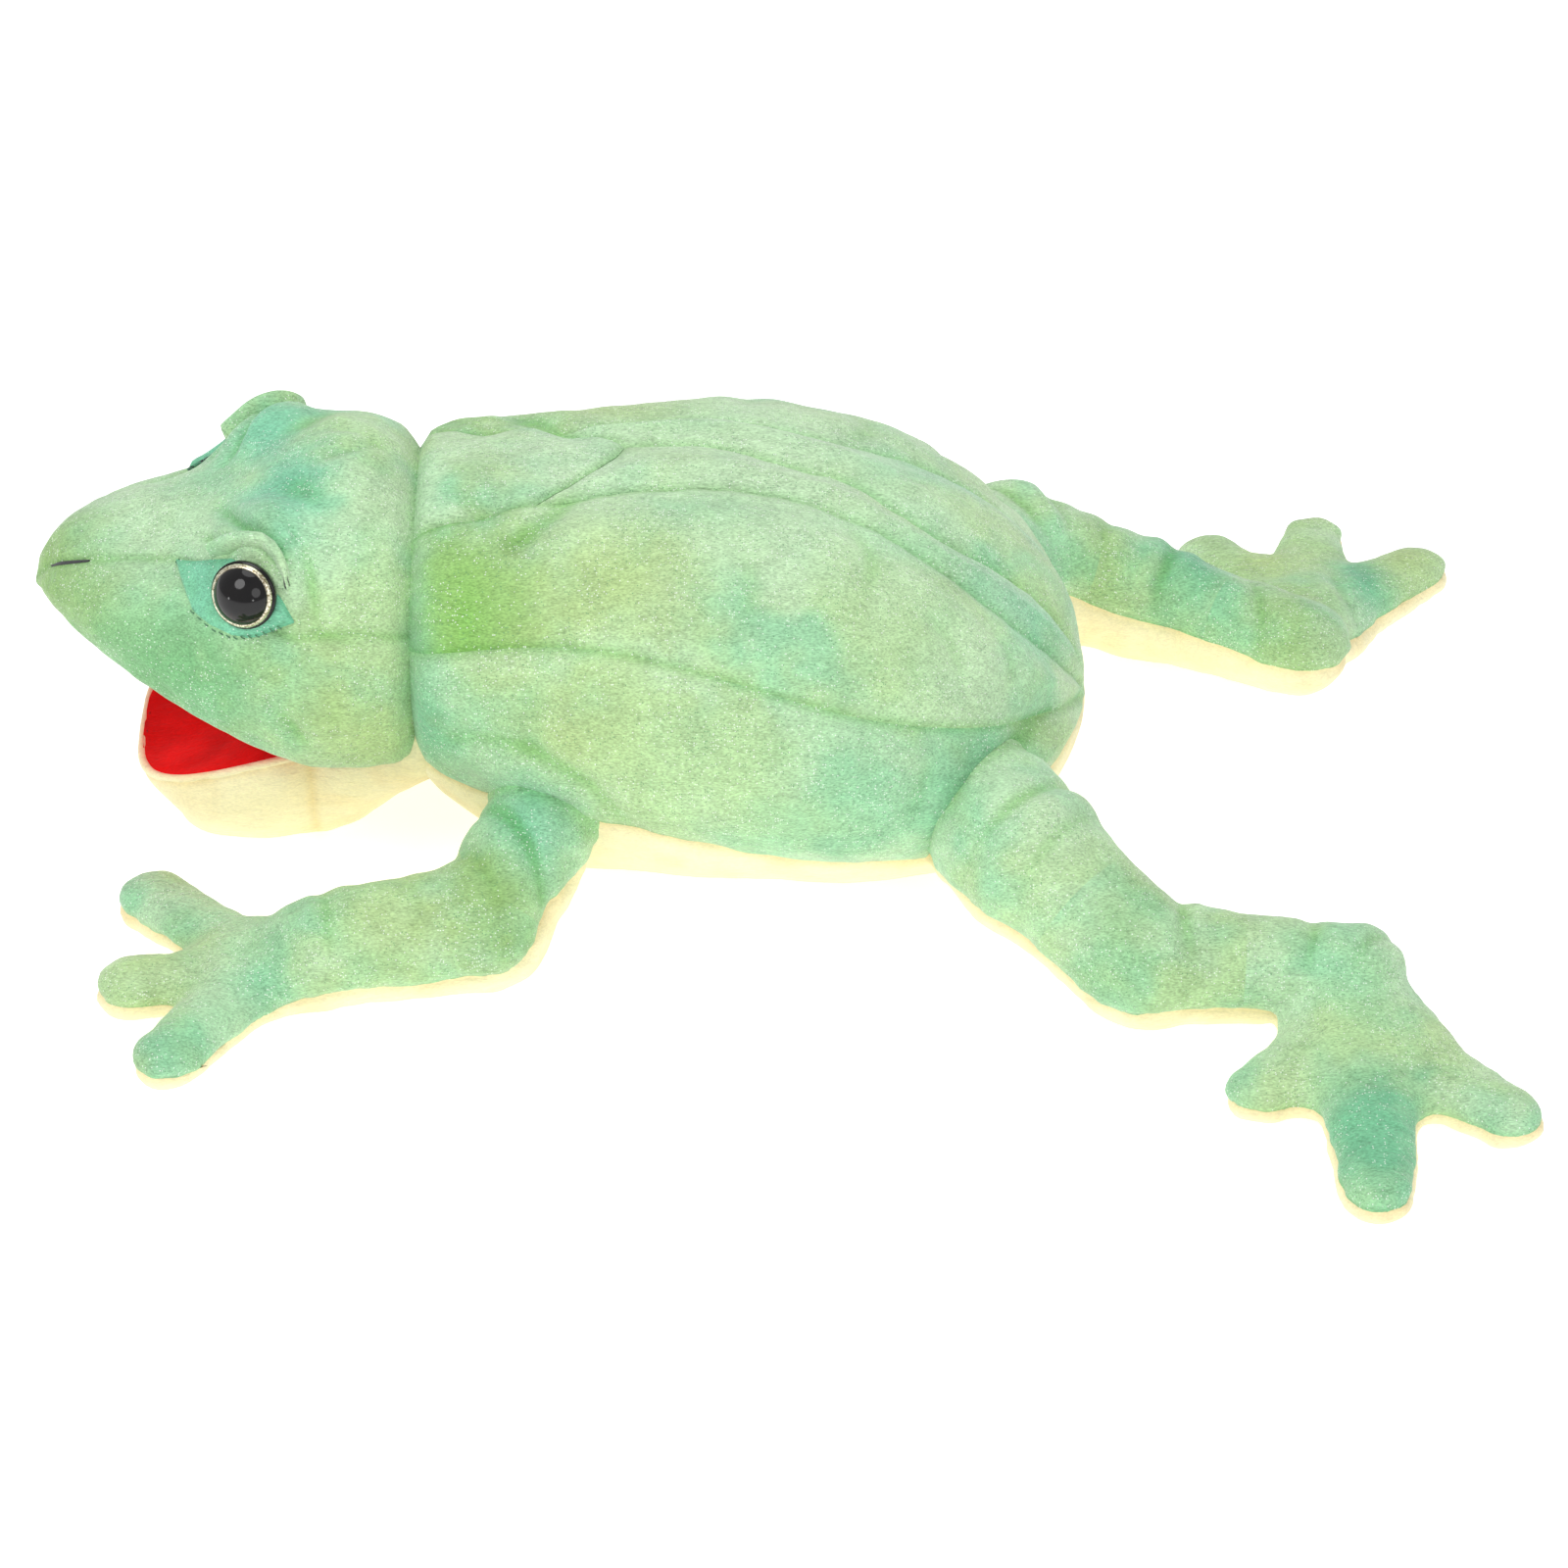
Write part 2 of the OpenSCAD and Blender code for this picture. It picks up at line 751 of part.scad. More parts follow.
module thigh_filling(side) {
    color("white") on_side(side)
        seg_filling(hips[leg(side)], knees[leg(side)], thigh_r - 1, knee_r, 0);
}

module shin_skin(side, half) {
    on_side(side) seg_skin(knees[leg(side)], ankles[leg(side)], shin_r, ankle_r,
        knee_r + joint_clear, half);
}

module shin_filling(side) {
    color("white") on_side(side) seg_filling(knees[leg(side)], ankles[leg(side)],
        shin_r, ankle_r, knee_r + joint_clear);
}

module foot_skin(side, top) {
    k = leg(side);
    on_side(side) difference() {
        paw_skin(heels[k], heel_r, toe_tips[k], toe_r, top);
        paw_room(knees[k], ankles[k], ankle_r, ankle_turn);
    }
}

module foot_filling(side) {
    k = leg(side);
    color("white") on_side(side) difference() {
        paw_filling(heels[k], heel_r, toe_tips[k], toe_r);
        paw_room(knees[k], ankles[k], ankle_r + fabric_t, ankle_turn);
    }
}

neck_yoke();
belly_panel();
hand_sleeve();
opening_hem();
back_filling();
side_fillings();
rump_filling();
crown_panel();
throat_panel();
palate_lining();
crown_filling();
finger_pocket();
eye_patches();
brow_folds();
eyes();
eye_rings();
eye_washers();
nostril_stitches();
chin_panel();
jaw_lining();
chin_filling();
thumb_pocket();
for (side = SIDES) {
    back_strip(side);
    hump_panel(side);
    flank_panel(side);
    cheek_panel(side);
    color(mint) upper_arm_skin(side, 0);
    color(cream) upper_arm_skin(side, 180);
    color(leaf_green) forearm_skin(side, 0);
    color(cream) forearm_skin(side, 180);
    forearm_filling(side);
    color(light_green) thigh_skin(side, 0);
    color(cream) thigh_skin(side, 180);
    thigh_filling(side);
    color(leaf_green) shin_skin(side, 0);
    color(cream) shin_skin(side, 180);
    shin_filling(side);
    color(mint) foot_skin(side, true);
    color(cream) foot_skin(side, false);
    foot_filling(side);
}
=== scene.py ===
"""Plush frog hand puppet lying on its belly: the fabric, stuffing, eyes and thread that
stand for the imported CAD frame. Lengths are in millimetres until a mesh is made."""

import bpy
import numpy as np
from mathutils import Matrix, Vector, noise


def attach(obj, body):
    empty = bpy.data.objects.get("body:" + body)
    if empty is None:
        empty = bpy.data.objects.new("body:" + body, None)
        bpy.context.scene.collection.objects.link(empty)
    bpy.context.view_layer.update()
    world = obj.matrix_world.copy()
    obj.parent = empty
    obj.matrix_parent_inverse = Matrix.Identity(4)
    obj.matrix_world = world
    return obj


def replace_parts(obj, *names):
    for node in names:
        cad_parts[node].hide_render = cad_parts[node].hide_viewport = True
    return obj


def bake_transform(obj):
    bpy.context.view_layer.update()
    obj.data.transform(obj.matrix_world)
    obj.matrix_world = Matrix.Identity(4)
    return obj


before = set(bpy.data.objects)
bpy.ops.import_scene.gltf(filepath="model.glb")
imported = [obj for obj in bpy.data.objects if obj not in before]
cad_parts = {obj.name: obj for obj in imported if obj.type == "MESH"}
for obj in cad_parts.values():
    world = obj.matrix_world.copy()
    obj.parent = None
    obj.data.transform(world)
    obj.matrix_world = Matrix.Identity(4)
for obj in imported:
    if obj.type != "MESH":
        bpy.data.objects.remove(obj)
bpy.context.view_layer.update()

MM = 0.001

# Driving sizes, the same as the frame's
BODY_W, BODY_H, NECK_W, NECK_H = 168, 119, 108, 91
HEAD_W, CROWN_H, EYE_BUMP = 112, 125, 9
EYE_D, RING_D = 15, 18.5
NECK_Y, RUMP_Y, WIDE_Y, BACK_Y, NOSE_Y = -98, 97, 12, -15, -208
RUMP_Z, NECK_Z, BELLY_FLAT = 38, 72.5, 3
JAW_Y, JAW_Z, LIP_ANGLE, CHEEK_Y, CROWN_Y = -127, 45, 112, -120, -116
SNOUT_Z, NOSE_Z, BUMP_Y, BUMP_A = 103, 79, -142, 36
FABRIC_T = 2.0
SIDES = {"left": 1, "right": -1}

# How the body and the head swell and fall away between those sizes
BACK_FALL = 83
BELLY_FRONT_Y, BELLY_REAR_Y = -52, 55
CROWN_REACH, SNOUT_Y = 34, -170
MIDDLE_SHARE = 0.32  # height of the head's widest line, from the lip to the top
BODY_EASE, HEAD_EASE = 1.9, 1.7  # how much closer the rows of points are at the far end


# ---- Numbers ----

def mix(a, b, t):
    return a + (b - a) * t


def above(t):
    return np.maximum(t, 0.0)


def smooth(t):
    s = np.clip(t, 0.0, 1.0)
    return s * s * (3 - 2 * s)


def sin_d(a):
    return np.sin(np.radians(a))


def cos_d(a):
    return np.cos(np.radians(a))


def unit(v):
    return v / np.maximum(np.linalg.norm(v, axis=-1, keepdims=True), 1e-9)


def soft_min(a, b, k):
    h = np.clip(0.5 + 0.5 * (b - a) / k, 0, 1)
    return mix(b, a, h) - k * h * (1 - h)


def soft_max(a, b, k):
    return -soft_min(-a, -b, k)


def lumps(points, size, seed=0.0, octaves=1):
    """Smooth noise from -1 to 1 at each point, with lumps of this size."""
    flat = np.asarray(points, float).reshape(-1, 3) / size + seed
    if octaves > 1:
        values = [noise.fractal(Vector(p), 0.9, 2.0, octaves) for p in flat]
    else:
        values = [noise.noise(Vector(p)) for p in flat]
    return np.array(values).reshape(np.shape(points)[:-1])


def path_distance(points, path):
    """Distance from each point to a path, and how far along it the nearest place is, 0 to 1."""
    path = np.asarray(path, float)
    for _ in range(2):
        rounded = [path[0]]
        for p, q in zip(path[:-1], path[1:]):
            rounded += [mix(p, q, 0.25), mix(p, q, 0.75)]
        path = np.array(rounded + [path[-1]])
    steps = np.linalg.norm(np.diff(path, axis=0), axis=1)
    starts = np.concatenate([[0], np.cumsum(steps)])
    best = np.full(points.shape[:-1], 1e9)
    along = np.zeros(points.shape[:-1])
    for p, q, step, start in zip(path[:-1], path[1:], steps, starts):
        t = np.clip((points - p) @ (q - p) / max(step, 1e-6) ** 2, 0, 1)
        gap = np.linalg.norm(points - p - t[..., None] * (q - p), axis=-1)
        closer = gap < best
        best = np.where(closer, gap, best)
        along = np.where(closer, (start + t * step) / starts[-1], along)
    return best, along


def crease(points, path, depth, width, ridge=0.45):
    """Height change of a soft fold along a path: a groove with a swelling on each side."""
    gap, along = path_distance(points, path)
    fade = np.sin(np.pi * np.clip(along, 0.04, 0.96)) ** 0.6
    groove = np.exp(-(gap / width) ** 2)
    swell = np.exp(-((gap - 2.1 * width) / (1.2 * width)) ** 2)
    return fade * depth * (ridge * swell - groove)


# ---- Surface of the body: u runs from the neck to the rump, a is the angle from the top ----

def body_half_w(y):
    rear = BODY_W / 2 * np.sqrt(above(1 - ((y - WIDE_Y) / (RUMP_Y - WIDE_Y)) ** 2))
    front = mix(BODY_W, NECK_W, (above(WIDE_Y - y) / (WIDE_Y - NECK_Y)) ** 1.8) / 2
    return np.where(y > WIDE_Y, rear, front)


def body_top(y):
    share = (y - BACK_Y) / (RUMP_Y - BACK_Y)
    rear = RUMP_Z + (BODY_H - RUMP_Z) * np.sqrt(above(1 - share ** 2))
    return np.where(y > BACK_Y, rear, BODY_H - (above(BACK_Y - y) / BACK_FALL) ** 2)


def body_bottom(y):
    rise = np.minimum(1, above(BELLY_FRONT_Y - y) / (BELLY_FRONT_Y - NECK_Y)) ** 1.6
    front = mix(-BELLY_FLAT, NECK_Z - NECK_H / 2, rise)
    rear = mix(-BELLY_FLAT, RUMP_Z, (above(y - BELLY_REAR_Y) / (RUMP_Y - BELLY_REAR_Y)) ** 2)
    return np.where(y < BELLY_FRONT_Y, front, rear)


def body_y(u):
    return mix(NECK_Y, RUMP_Y, 1 - above(1 - u) ** BODY_EASE)


def body_at(y, a):
    top, bottom = body_top(y), body_bottom(y)
    middle = (top + bottom) / 2 + 1
    c = cos_d(a)
    rise = np.where(c > 0, mix(middle, top, c), mix(middle, bottom, -c))
    parts = np.broadcast_arrays(body_half_w(y) * sin_d(a), y, above(rise))
    return np.stack(parts, -1).astype(float)


def body_skin(u, a):
    return body_at(body_y(u), a)


def round_gap(aside, rise, half, tall):
    """Rough distance outside an oval of this half width and height, in millimetres."""
    return (np.hypot(aside / half, rise / tall) - 1) * np.minimum(half, tall)


def body_field(p):
    """Rough distance outside the body."""
    y = np.clip(p[..., 1], NECK_Y, RUMP_Y - 0.5)
    half, top, bottom = np.maximum(body_half_w(y), 4), body_top(y), body_bottom(y)
    middle = (top + bottom) / 2 + 1
    tall = np.maximum(np.where(p[..., 2] > middle, top - middle, middle - bottom), 4)
    return round_gap(p[..., 0], p[..., 2] - middle, half, tall)


def strip_seam(y):
    return 9 + 20 * ((y + 12) / 84) ** 2


def strip_edge(y, sign):
    """Edge of the back strips on one side; the skin has slipped towards the near side."""
    return strip_seam(y) if sign > 0 else -strip_seam(y) - 12 * np.exp(-((y + 20) / 35) ** 2)


def centre_seam(y):
    """The seam down the back wanders to one side and back."""
    return -8 * smooth((y + 90) / 50) + 8 * smooth((y + 20) / 40) + 11 * smooth((y - 20) / 40)


def flank_seam(y):
    return 54 + 17 * (above(-45 - y) / 50) ** 2 + 12 * smooth((y + 50) / 100)


def belly_seam(y):
    rear = 13 * smooth((y + 50) / 80) - 12 * smooth((y - 60) / 37)
    return 105 + 17 * smooth((-60 - y) / 38) + rear


# ---- Surface of the head: u runs from the neck to the nose ----

def head_half_w(y):
    rear = mix(HEAD_W, NECK_W, smooth((y - CHEEK_Y) / 24)) / 2
    share = above(CHEEK_Y - y) / (CHEEK_Y - NOSE_Y)
    return np.where(y > CHEEK_Y, rear, HEAD_W / 2 * above(1 - share ** 1.7) ** 0.65)


def head_top(y):
    line = SNOUT_Z + (CROWN_H - SNOUT_Z) * np.exp(-((y - CROWN_Y) / CROWN_REACH) ** 2)
    share = above(SNOUT_Y - y) / (SNOUT_Y - NOSE_Y)
    return NOSE_Z + (line - NOSE_Z) * above(1 - share ** 3) ** 0.6


def lip_z(y):
    return JAW_Z + 1 + (NOSE_Z - JAW_Z - 1) * (above(JAW_Y - y) / (JAW_Y - NOSE_Y)) ** 1.15


def head_y(u):
    return mix(NECK_Y, NOSE_Y, 1 - above(1 - u) ** HEAD_EASE)


def head_u(y):
    return 1 - above((y - NOSE_Y) / (NECK_Y - NOSE_Y)) ** (1 / HEAD_EASE)


def head_at(y, a):
    top, lip = head_top(y), lip_z(y)
    middle = mix(lip, top, MIDDLE_SHARE)
    drop = abs(cos_d(a) / cos_d(LIP_ANGLE))
    bump = EYE_BUMP * np.exp(-((abs(a) - BUMP_A) / 18) ** 2 - ((y - BUMP_Y) / 14) ** 2)
    rise = np.where(abs(a) < 90, mix(middle, top, cos_d(a)), mix(middle, lip, drop))
    parts = np.broadcast_arrays((head_half_w(y) + bump) * sin_d(a), y, rise + bump * cos_d(a))
    return np.stack(parts, -1).astype(float)


def head_skin(u, a):
    return head_at(head_y(u), a)


def cheek_seam(y):
    return 66 - 34 * smooth((-128 - y) / 40) + 10 * smooth((-170 - y) / 35)


# ---- Materials ----

class Graph:
    """A material and short ways to add nodes to it."""

    def __init__(self, name):
        self.material = bpy.data.materials.new(name)
        self.material.use_nodes = True
        self.tree = self.material.node_tree
        self.shader = self.tree.nodes["Principled BSDF"]
        self.place = self.attribute("rest", "Vector")

    def add(self, kind, inputs, **settings):
        node = self.tree.nodes.new("ShaderNode" + kind)
        for key, value in settings.items():
            setattr(node, key, value)
        for socket, value in inputs.items():
            self.put(node.inputs[socket], value)
        return node

    def put(self, socket, value):
        if isinstance(value, bpy.types.NodeSocket):
            self.tree.links.new(value, socket)
        else:
            socket.default_value = value

    def finish(self, **sockets):
        for name, value in sockets.items():
            self.put(self.shader.inputs[name.replace("_", " ")], value)
        return self.material

    def attribute(self, name, output):
        return self.add("Attribute", {}, attribute_name=name).outputs[output]

    def noise(self, vector, scale, detail=2, rough=0.5):
        inputs = {"Vector": vector, "Scale": scale, "Detail": detail, "Roughness": rough}
        return self.add("TexNoise", inputs).outputs["Fac"]

    def wave(self, scale, distortion, direction):
        inputs = {"Vector": self.place, "Scale": scale, "Distortion": distortion}
        return self.add("TexWave", inputs, bands_direction=direction).outputs["Fac"]

    def math(self, operation, a, b=0.0):
        return self.add("Math", {0: a, 1: b}, operation=operation).outputs[0]

    def ramp(self, value, low, high, out_low, out_high):
        inputs = {0: value, 1: low, 2: high, 3: out_low, 4: out_high}
        return self.add("MapRange", inputs).outputs[0]

    def blend(self, factor, a, b, mode="MIX"):
        node = self.add("Mix", {0: factor, 6: a, 7: b}, data_type="RGBA", blend_type=mode)
        return node.outputs[2]

    def bump(self, height, strength, distance, normal=None):
        inputs = {"Height": height, "Strength": strength, "Distance": distance}
        if normal is not None:
            inputs["Normal"] = normal
        return self.add("Bump", inputs).outputs["Normal"]


def pile(name, fleck_share, mottle, sheen, depth, grain=1.0):
    """Short brushed pile. The mesh's "dye" colour is the dye with painted shade, and "rest" its
    place at rest.
    """
    g = Graph(name)
    dye = g.attribute("dye", "Color")
    combed = g.add("VectorMath", {0: g.place, 1: (1.0, 0.35, 1.0)}, operation="MULTIPLY").outputs[0]
    cloud = g.noise(g.place, 60, 6, 0.65)
    tuft = g.noise(combed, 420, 3, 0.6)
    fibre = g.noise(combed, 1300, 2, 0.6)
    hair = g.noise(combed, 2600, 1, 0.5)
    shade = g.math("ADD", g.ramp(cloud, 0.3, 0.7, 1 - mottle, 1 + mottle),
                   g.math("ADD", g.ramp(tuft, 0.3, 0.7, -0.10 * grain, 0.06 * grain),
                          g.math("ADD", g.ramp(fibre, 0.3, 0.7, -0.10 * grain, 0.07 * grain),
                                 g.ramp(hair, 0.3, 0.7, -0.18 * grain, 0.13 * grain))))
    colour = g.add("HueSaturation", {"Color": dye, "Value": shade}).outputs["Color"]
    if fleck_share:
        cells = g.add("TexVoronoi", {"Vector": g.place, "Scale": 1500.0})
        pick = g.add("SeparateColor", {0: cells.outputs["Color"]})
        small = g.math("LESS_THAN", cells.outputs["Distance"], 0.30)
        crowd = g.ramp(g.noise(g.place, 70, 3), 0.40, 0.62, 0.35 * fleck_share, 2.1 * fleck_share)
        chosen = g.math("LESS_THAN", pick.outputs[0], crowd)
        dark = g.math("LESS_THAN", pick.outputs[1], 0.5)
        fleck = g.blend(dark, (0.95, 1.0, 0.95, 1), (0.12, 0.32, 0.15, 1))
        mask = g.math("MULTIPLY", g.math("MULTIPLY", small, chosen), 0.7)
        colour = g.blend(mask, colour, fleck)
        g.put(g.shader.inputs["Roughness"], g.ramp(mask, 0, 1, 0.92, 0.3))
    else:
        g.put(g.shader.inputs["Roughness"], 0.95)
    soft = g.bump(tuft, 0.8, depth)
    normal = g.bump(fibre, 0.6, depth * 0.5, soft)
    return g.finish(Base_Color=colour, Normal=normal, Sheen_Weight=sheen,
                    Sheen_Roughness=0.45, Specular_IOR_Level=0.15)


def cotton(name):
    """Thin woven lining, undyed."""
    g = Graph(name)
    warp, weft = (g.wave(420.0, 0.6, direction) for direction in "XY")
    weave = g.math("MAXIMUM", warp, weft)
    cloud = g.noise(g.place, 80, 4)
    tone = g.blend(cloud, (0.80, 0.77, 0.64, 1), (0.90, 0.88, 0.77, 1))
    colour = g.blend(g.ramp(weave, 0, 1, 0.25, 0), tone, (0.55, 0.52, 0.42, 1))
    return g.finish(Base_Color=colour, Normal=g.bump(weave, 0.5, 0.0003), Roughness=0.9,
                    Specular_IOR_Level=0.2)


def fibrefill(name):
    """White polyester stuffing."""
    g = Graph(name)
    wisp = g.noise(g.place, 240, 8, 0.75)
    colour = g.blend(wisp, (0.78, 0.79, 0.80, 1), (0.97, 0.97, 0.97, 1))
    return g.finish(Base_Color=colour, Normal=g.bump(wisp, 1.0, 0.002), Roughness=1.0,
                    Sheen_Weight=0.3, Specular_IOR_Level=0.1)


def eye_black():
    g = Graph("eye_black_gloss")
    haze = g.noise(g.place, 300, 3)
    colour = g.blend(haze, (0.004, 0.004, 0.005, 1), (0.010, 0.009, 0.009, 1))
    return g.finish(Base_Color=colour, Roughness=g.ramp(haze, 0.3, 0.7, 0.05, 0.09), IOR=1.42,
                    Specular_IOR_Level=0.5)


def eye_glitter():
    """Pale gold flakes set in clear lacquer."""
    g = Graph("eye_glitter_lacquer")
    cells = g.add("TexVoronoi", {"Vector": g.place, "Scale": 1700.0})
    pick = g.add("SeparateColor", {0: cells.outputs["Color"]})
    flake = g.blend(pick.outputs[0], (0.30, 0.24, 0.12, 1), (0.98, 0.93, 0.74, 1))
    tilt = g.bump(pick.outputs[1], 0.9, 0.0003)
    return g.finish(Base_Color=flake, Metallic=0.75, Roughness=0.24, Normal=tilt,
                    Coat_Weight=0.6, Coat_Roughness=0.05)


def washer_plastic():
    g = Graph("washer_white_plastic")
    grain = g.noise(g.place, 900, 3)
    colour = g.blend(grain, (0.80, 0.79, 0.74, 1), (0.87, 0.86, 0.82, 1))
    return g.finish(Base_Color=colour, Roughness=0.45, Normal=g.bump(grain, 0.15, 0.0001))


def thread(name, dark, light):
    """Twisted sewing thread."""
    g = Graph(name)
    twist = g.wave(900.0, 2.0, "DIAGONAL")
    return g.finish(Base_Color=g.blend(twist, dark, light), Roughness=0.65,
                    Normal=g.bump(twist, 0.6, 0.0002), Sheen_Weight=0.2)


MATERIALS = {
    "green_pile": pile("green_velboa", 0.30, 0.10, 0.35, 0.0010),
    "turquoise_pile": pile("turquoise_velboa", 0.16, 0.08, 0.30, 0.0008),
    "cream_pile": pile("cream_plush", 0, 0.05, 0.30, 0.0009, 0.35),
    "red_lining": pile("red_velboa", 0, 0.05, 0.10, 0.0004, 0.4),
    "lining_cotton": cotton("undyed_cotton"),
    "filling": fibrefill("polyester_filling"),
    "eye_black": eye_black(),
    "eye_glitter": eye_glitter(),
    "washer_plastic": washer_plastic(),
    "black_thread": thread("black_thread_twist", (0.01, 0.01, 0.012, 1), (0.05, 0.05, 0.06, 1)),
    "green_thread": thread("green_thread_twist", (0.05, 0.16, 0.08, 1), (0.12, 0.30, 0.16, 1)),
}

# ---- Tie-dye ----

LEAF = np.array([0.30, 0.50, 0.18])
LIGHT = np.array([0.465, 0.68, 0.35])
YELLOW_GREEN = np.array([0.475, 0.64, 0.27])
MINT = np.array([0.34, 0.66, 0.39])
TEAL = np.array([0.19, 0.53, 0.30])
DEEP = np.array([0.21, 0.50, 0.22])
AQUA = np.array([0.22, 0.60, 0.39])
BRIGHT = np.array([0.28, 0.57, 0.14])
PALE = np.array([0.54, 0.75, 0.48])
CREAM = np.array([0.97, 0.90, 0.58])
RED = np.array([0.90, 0.006, 0.006])

# Where the dye pooled: place, reach along each axis and colour. The far side is a mirror
# image moved along a little, so that the two sides don't match.
POOLS = [
    ((0, -205, 85), (32, 20, 20), LEAF, 1.3),
    ((22, -192, 88), (20, 14, 16), LEAF, 0.8),
    ((46, -160, 80), (30, 26, 22), DEEP, 0.9),
    ((44, -176, 76), (26, 18, 14), DEEP, 0.9),
    ((52, -118, 68), (20, 18, 20), YELLOW_GREEN, 0.9),
    ((56, -104, 56), (20, 10, 14), YELLOW_GREEN, 0.6),
    ((14, -133, 121), (16, 15, 12), AQUA, 1.0),
    ((26, -131, 120), (12, 9, 10), AQUA, 0.6),
    ((8, -170, 102), (26, 18, 12), PALE, 0.9),
    ((50, -106, 100), (16, 9, 20), LIGHT, 0.8),
    ((46, -84, 92), (18, 8, 22), BRIGHT, 1.0, "hump"),
    ((46, -68, 98), (16, 8, 16), BRIGHT, 0.9, "hump"),
    ((46, -76, 94), (24, 17, 30), LEAF, 1.0, "hump"),
    ((46, -80, 92), (18, 12, 24), BRIGHT, 1.0, "hump"),
    ((56, -94, 66), (14, 10, 24), TEAL, 0.9, "flank"),
    ((54, -96, 84), (12, 5, 16), TEAL, 0.6, "hump"),
    ((24, 30, 112), (18, 50, 20), PALE, 0.8),
    ((48, -40, 108), (22, 24, 18), YELLOW_GREEN, 0.9),
    ((36, 8, 112), (18, 22, 14), PALE, 0.8),
    ((20, -12, 118), (12, 22, 8), MINT, 0.4),
    ((8, -48, 119), (14, 20, 12), PALE, 1.0),
    ((6, 6, 118), (14, 40, 12), PALE, 1.1),
    ((50, 40, 88), (20, 22, 20), LIGHT, 0.8),
    ((48, 62, 78), (16, 14, 18), PALE, 0.7),
    ((22, 52, 100), (9, 26, 14), MINT, 0.6),
    ((22, 74, 82), (8, 16, 16), AQUA, 0.5),
    ((64, 62, 50), (22, 15, 24), TEAL, 1.0, "flank"),
    ((66, 20, 62), (20, 22, 16), AQUA, 0.6, "flank"),
    ((70, -30, 74), (20, 20, 14), LIGHT, 0.9, "flank"),
    ((76, -55, 72), (18, 26, 20), YELLOW_GREEN, 0.9),
    ((78, -8, 64), (20, 30, 22), LIGHT, 0.8),
    ((78, 34, 56), (18, 16, 14), MINT, 0.7),
    ((76, -64, 40), (18, 13, 22), AQUA, 0.95),
    ((92, -76, 24), (17, 13, 20), LEAF, 1.4),
    ((96, -104, 24), (22, 18, 20), YELLOW_GREEN, 0.9),
    ((96, -134, 14), (18, 12, 14), MINT, 0.9),
    ((112, -140, 12), (14, 8, 12), TEAL, 0.6),
    ((136, -160, 12), (12, 14, 14), TEAL, 0.5),
    ((104, -168, 12), (14, 14, 14), YELLOW_GREEN, 0.5),
    ((84, 84, 44), (18, 16, 22), PALE, 0.8),
    ((108, 104, 26), (18, 16, 22), LEAF, 0.55),
    ((104, 136, 24), (16, 14, 16), LIGHT, 0.8),
    ((112, 166, 22), (22, 10, 22), MINT, 1.0),
    ((140, 172, 12), (14, 20, 14), YELLOW_GREEN, 0.7),
    ((180, 168, 12), (28, 16, 14), TEAL, 1.3),
    ((160, 144, 12), (12, 10, 12), YELLOW_GREEN, 0.5),
    ((80, 114, 34), (24, 8, 20), LEAF, 0.7, "right_"),
    ((78, 142, 30), (24, 14, 20), TEAL, 1.1, "right_"),
    ((56, 172, 24), (24, 14, 14), LEAF, 0.8, "right_"),
    ((106, 168, 14), (18, 16, 14), YELLOW_GREEN, 1.0, "right_"),
    ((96, 196, 14), (16, 8, 14), TEAL, 1.2, "right_"),
    ((112, 210, 14), (12, 9, 12), YELLOW_GREEN, 0.9, "right_"),
]

def pooled(points, shift, name):
    """Dye of one side. A pool with a name stays on the panels whose names hold it."""
    shift += sum(map(ord, name)) % 13
    colour = mix(LIGHT, MINT, smooth(0.5 + 1.3 * lumps(points, 30, 3.1 + shift, 3))[..., None])
    pale = smooth(0.35 + 1.5 * lumps(points, 24, 9.4 + shift, 3))[..., None]
    colour = mix(colour, PALE, 0.7 * pale)
    edge = 1 + 0.7 * lumps(points, 9, 5.2, 2)
    for place, reach, dye, strength, *only in POOLS:
        if only and only[0] not in name:
            continue
        offset = (points - np.array(place)) / reach
        share = np.minimum(1, strength * np.exp(-np.sum(offset ** 2, -1) * edge))
        colour = mix(colour, dye, share[..., None])
    return colour


def green_dye(points, name):
    """Dye at each point: the near side as placed, the far side mirrored and moved."""
    near = pooled(points, 0.0, name)
    far = pooled(points * [-1, 1, 1] + [0, 9, 0], 11.0, name)
    return mix(far, near, smooth(points[..., :1] / 14 + 0.6))


def stained(low, high, share, bias, size, seed):
    """A dye that goes from low towards high in patches of this size."""
    def dye(points, name):
        shade = smooth(bias + lumps(points, size, seed, 2))[..., None]
        return mix(low, high, share * shade)
    return dye


def plain_dye(points, name):
    return np.ones(points.shape)


# Painted shade: how much full shade in creases, seams and joins darkens each dye
PAINTED_SHADE_TINT = {"green_pile": np.array([0.50, 0.74, 0.40]), "turquoise_pile": np.array([0.5, 0.7, 0.6]),
            "cream_pile": np.array([0.85, 0.72, 0.45]), "red_lining": np.array([0.6, 0.6, 0.6])}
DYES = {"green_pile": green_dye,
        "turquoise_pile": stained(AQUA, TEAL, 0.6, 0.4, 12, 2.2),
        "cream_pile": stained(CREAM, CREAM * [0.97, 0.86, 0.72], 0.5, 0.2, 16, 7.7),
        "red_lining": stained(RED, RED * 0.8, 1.0, 0.5, 14, 4.0)}


# ---- Meshes ----

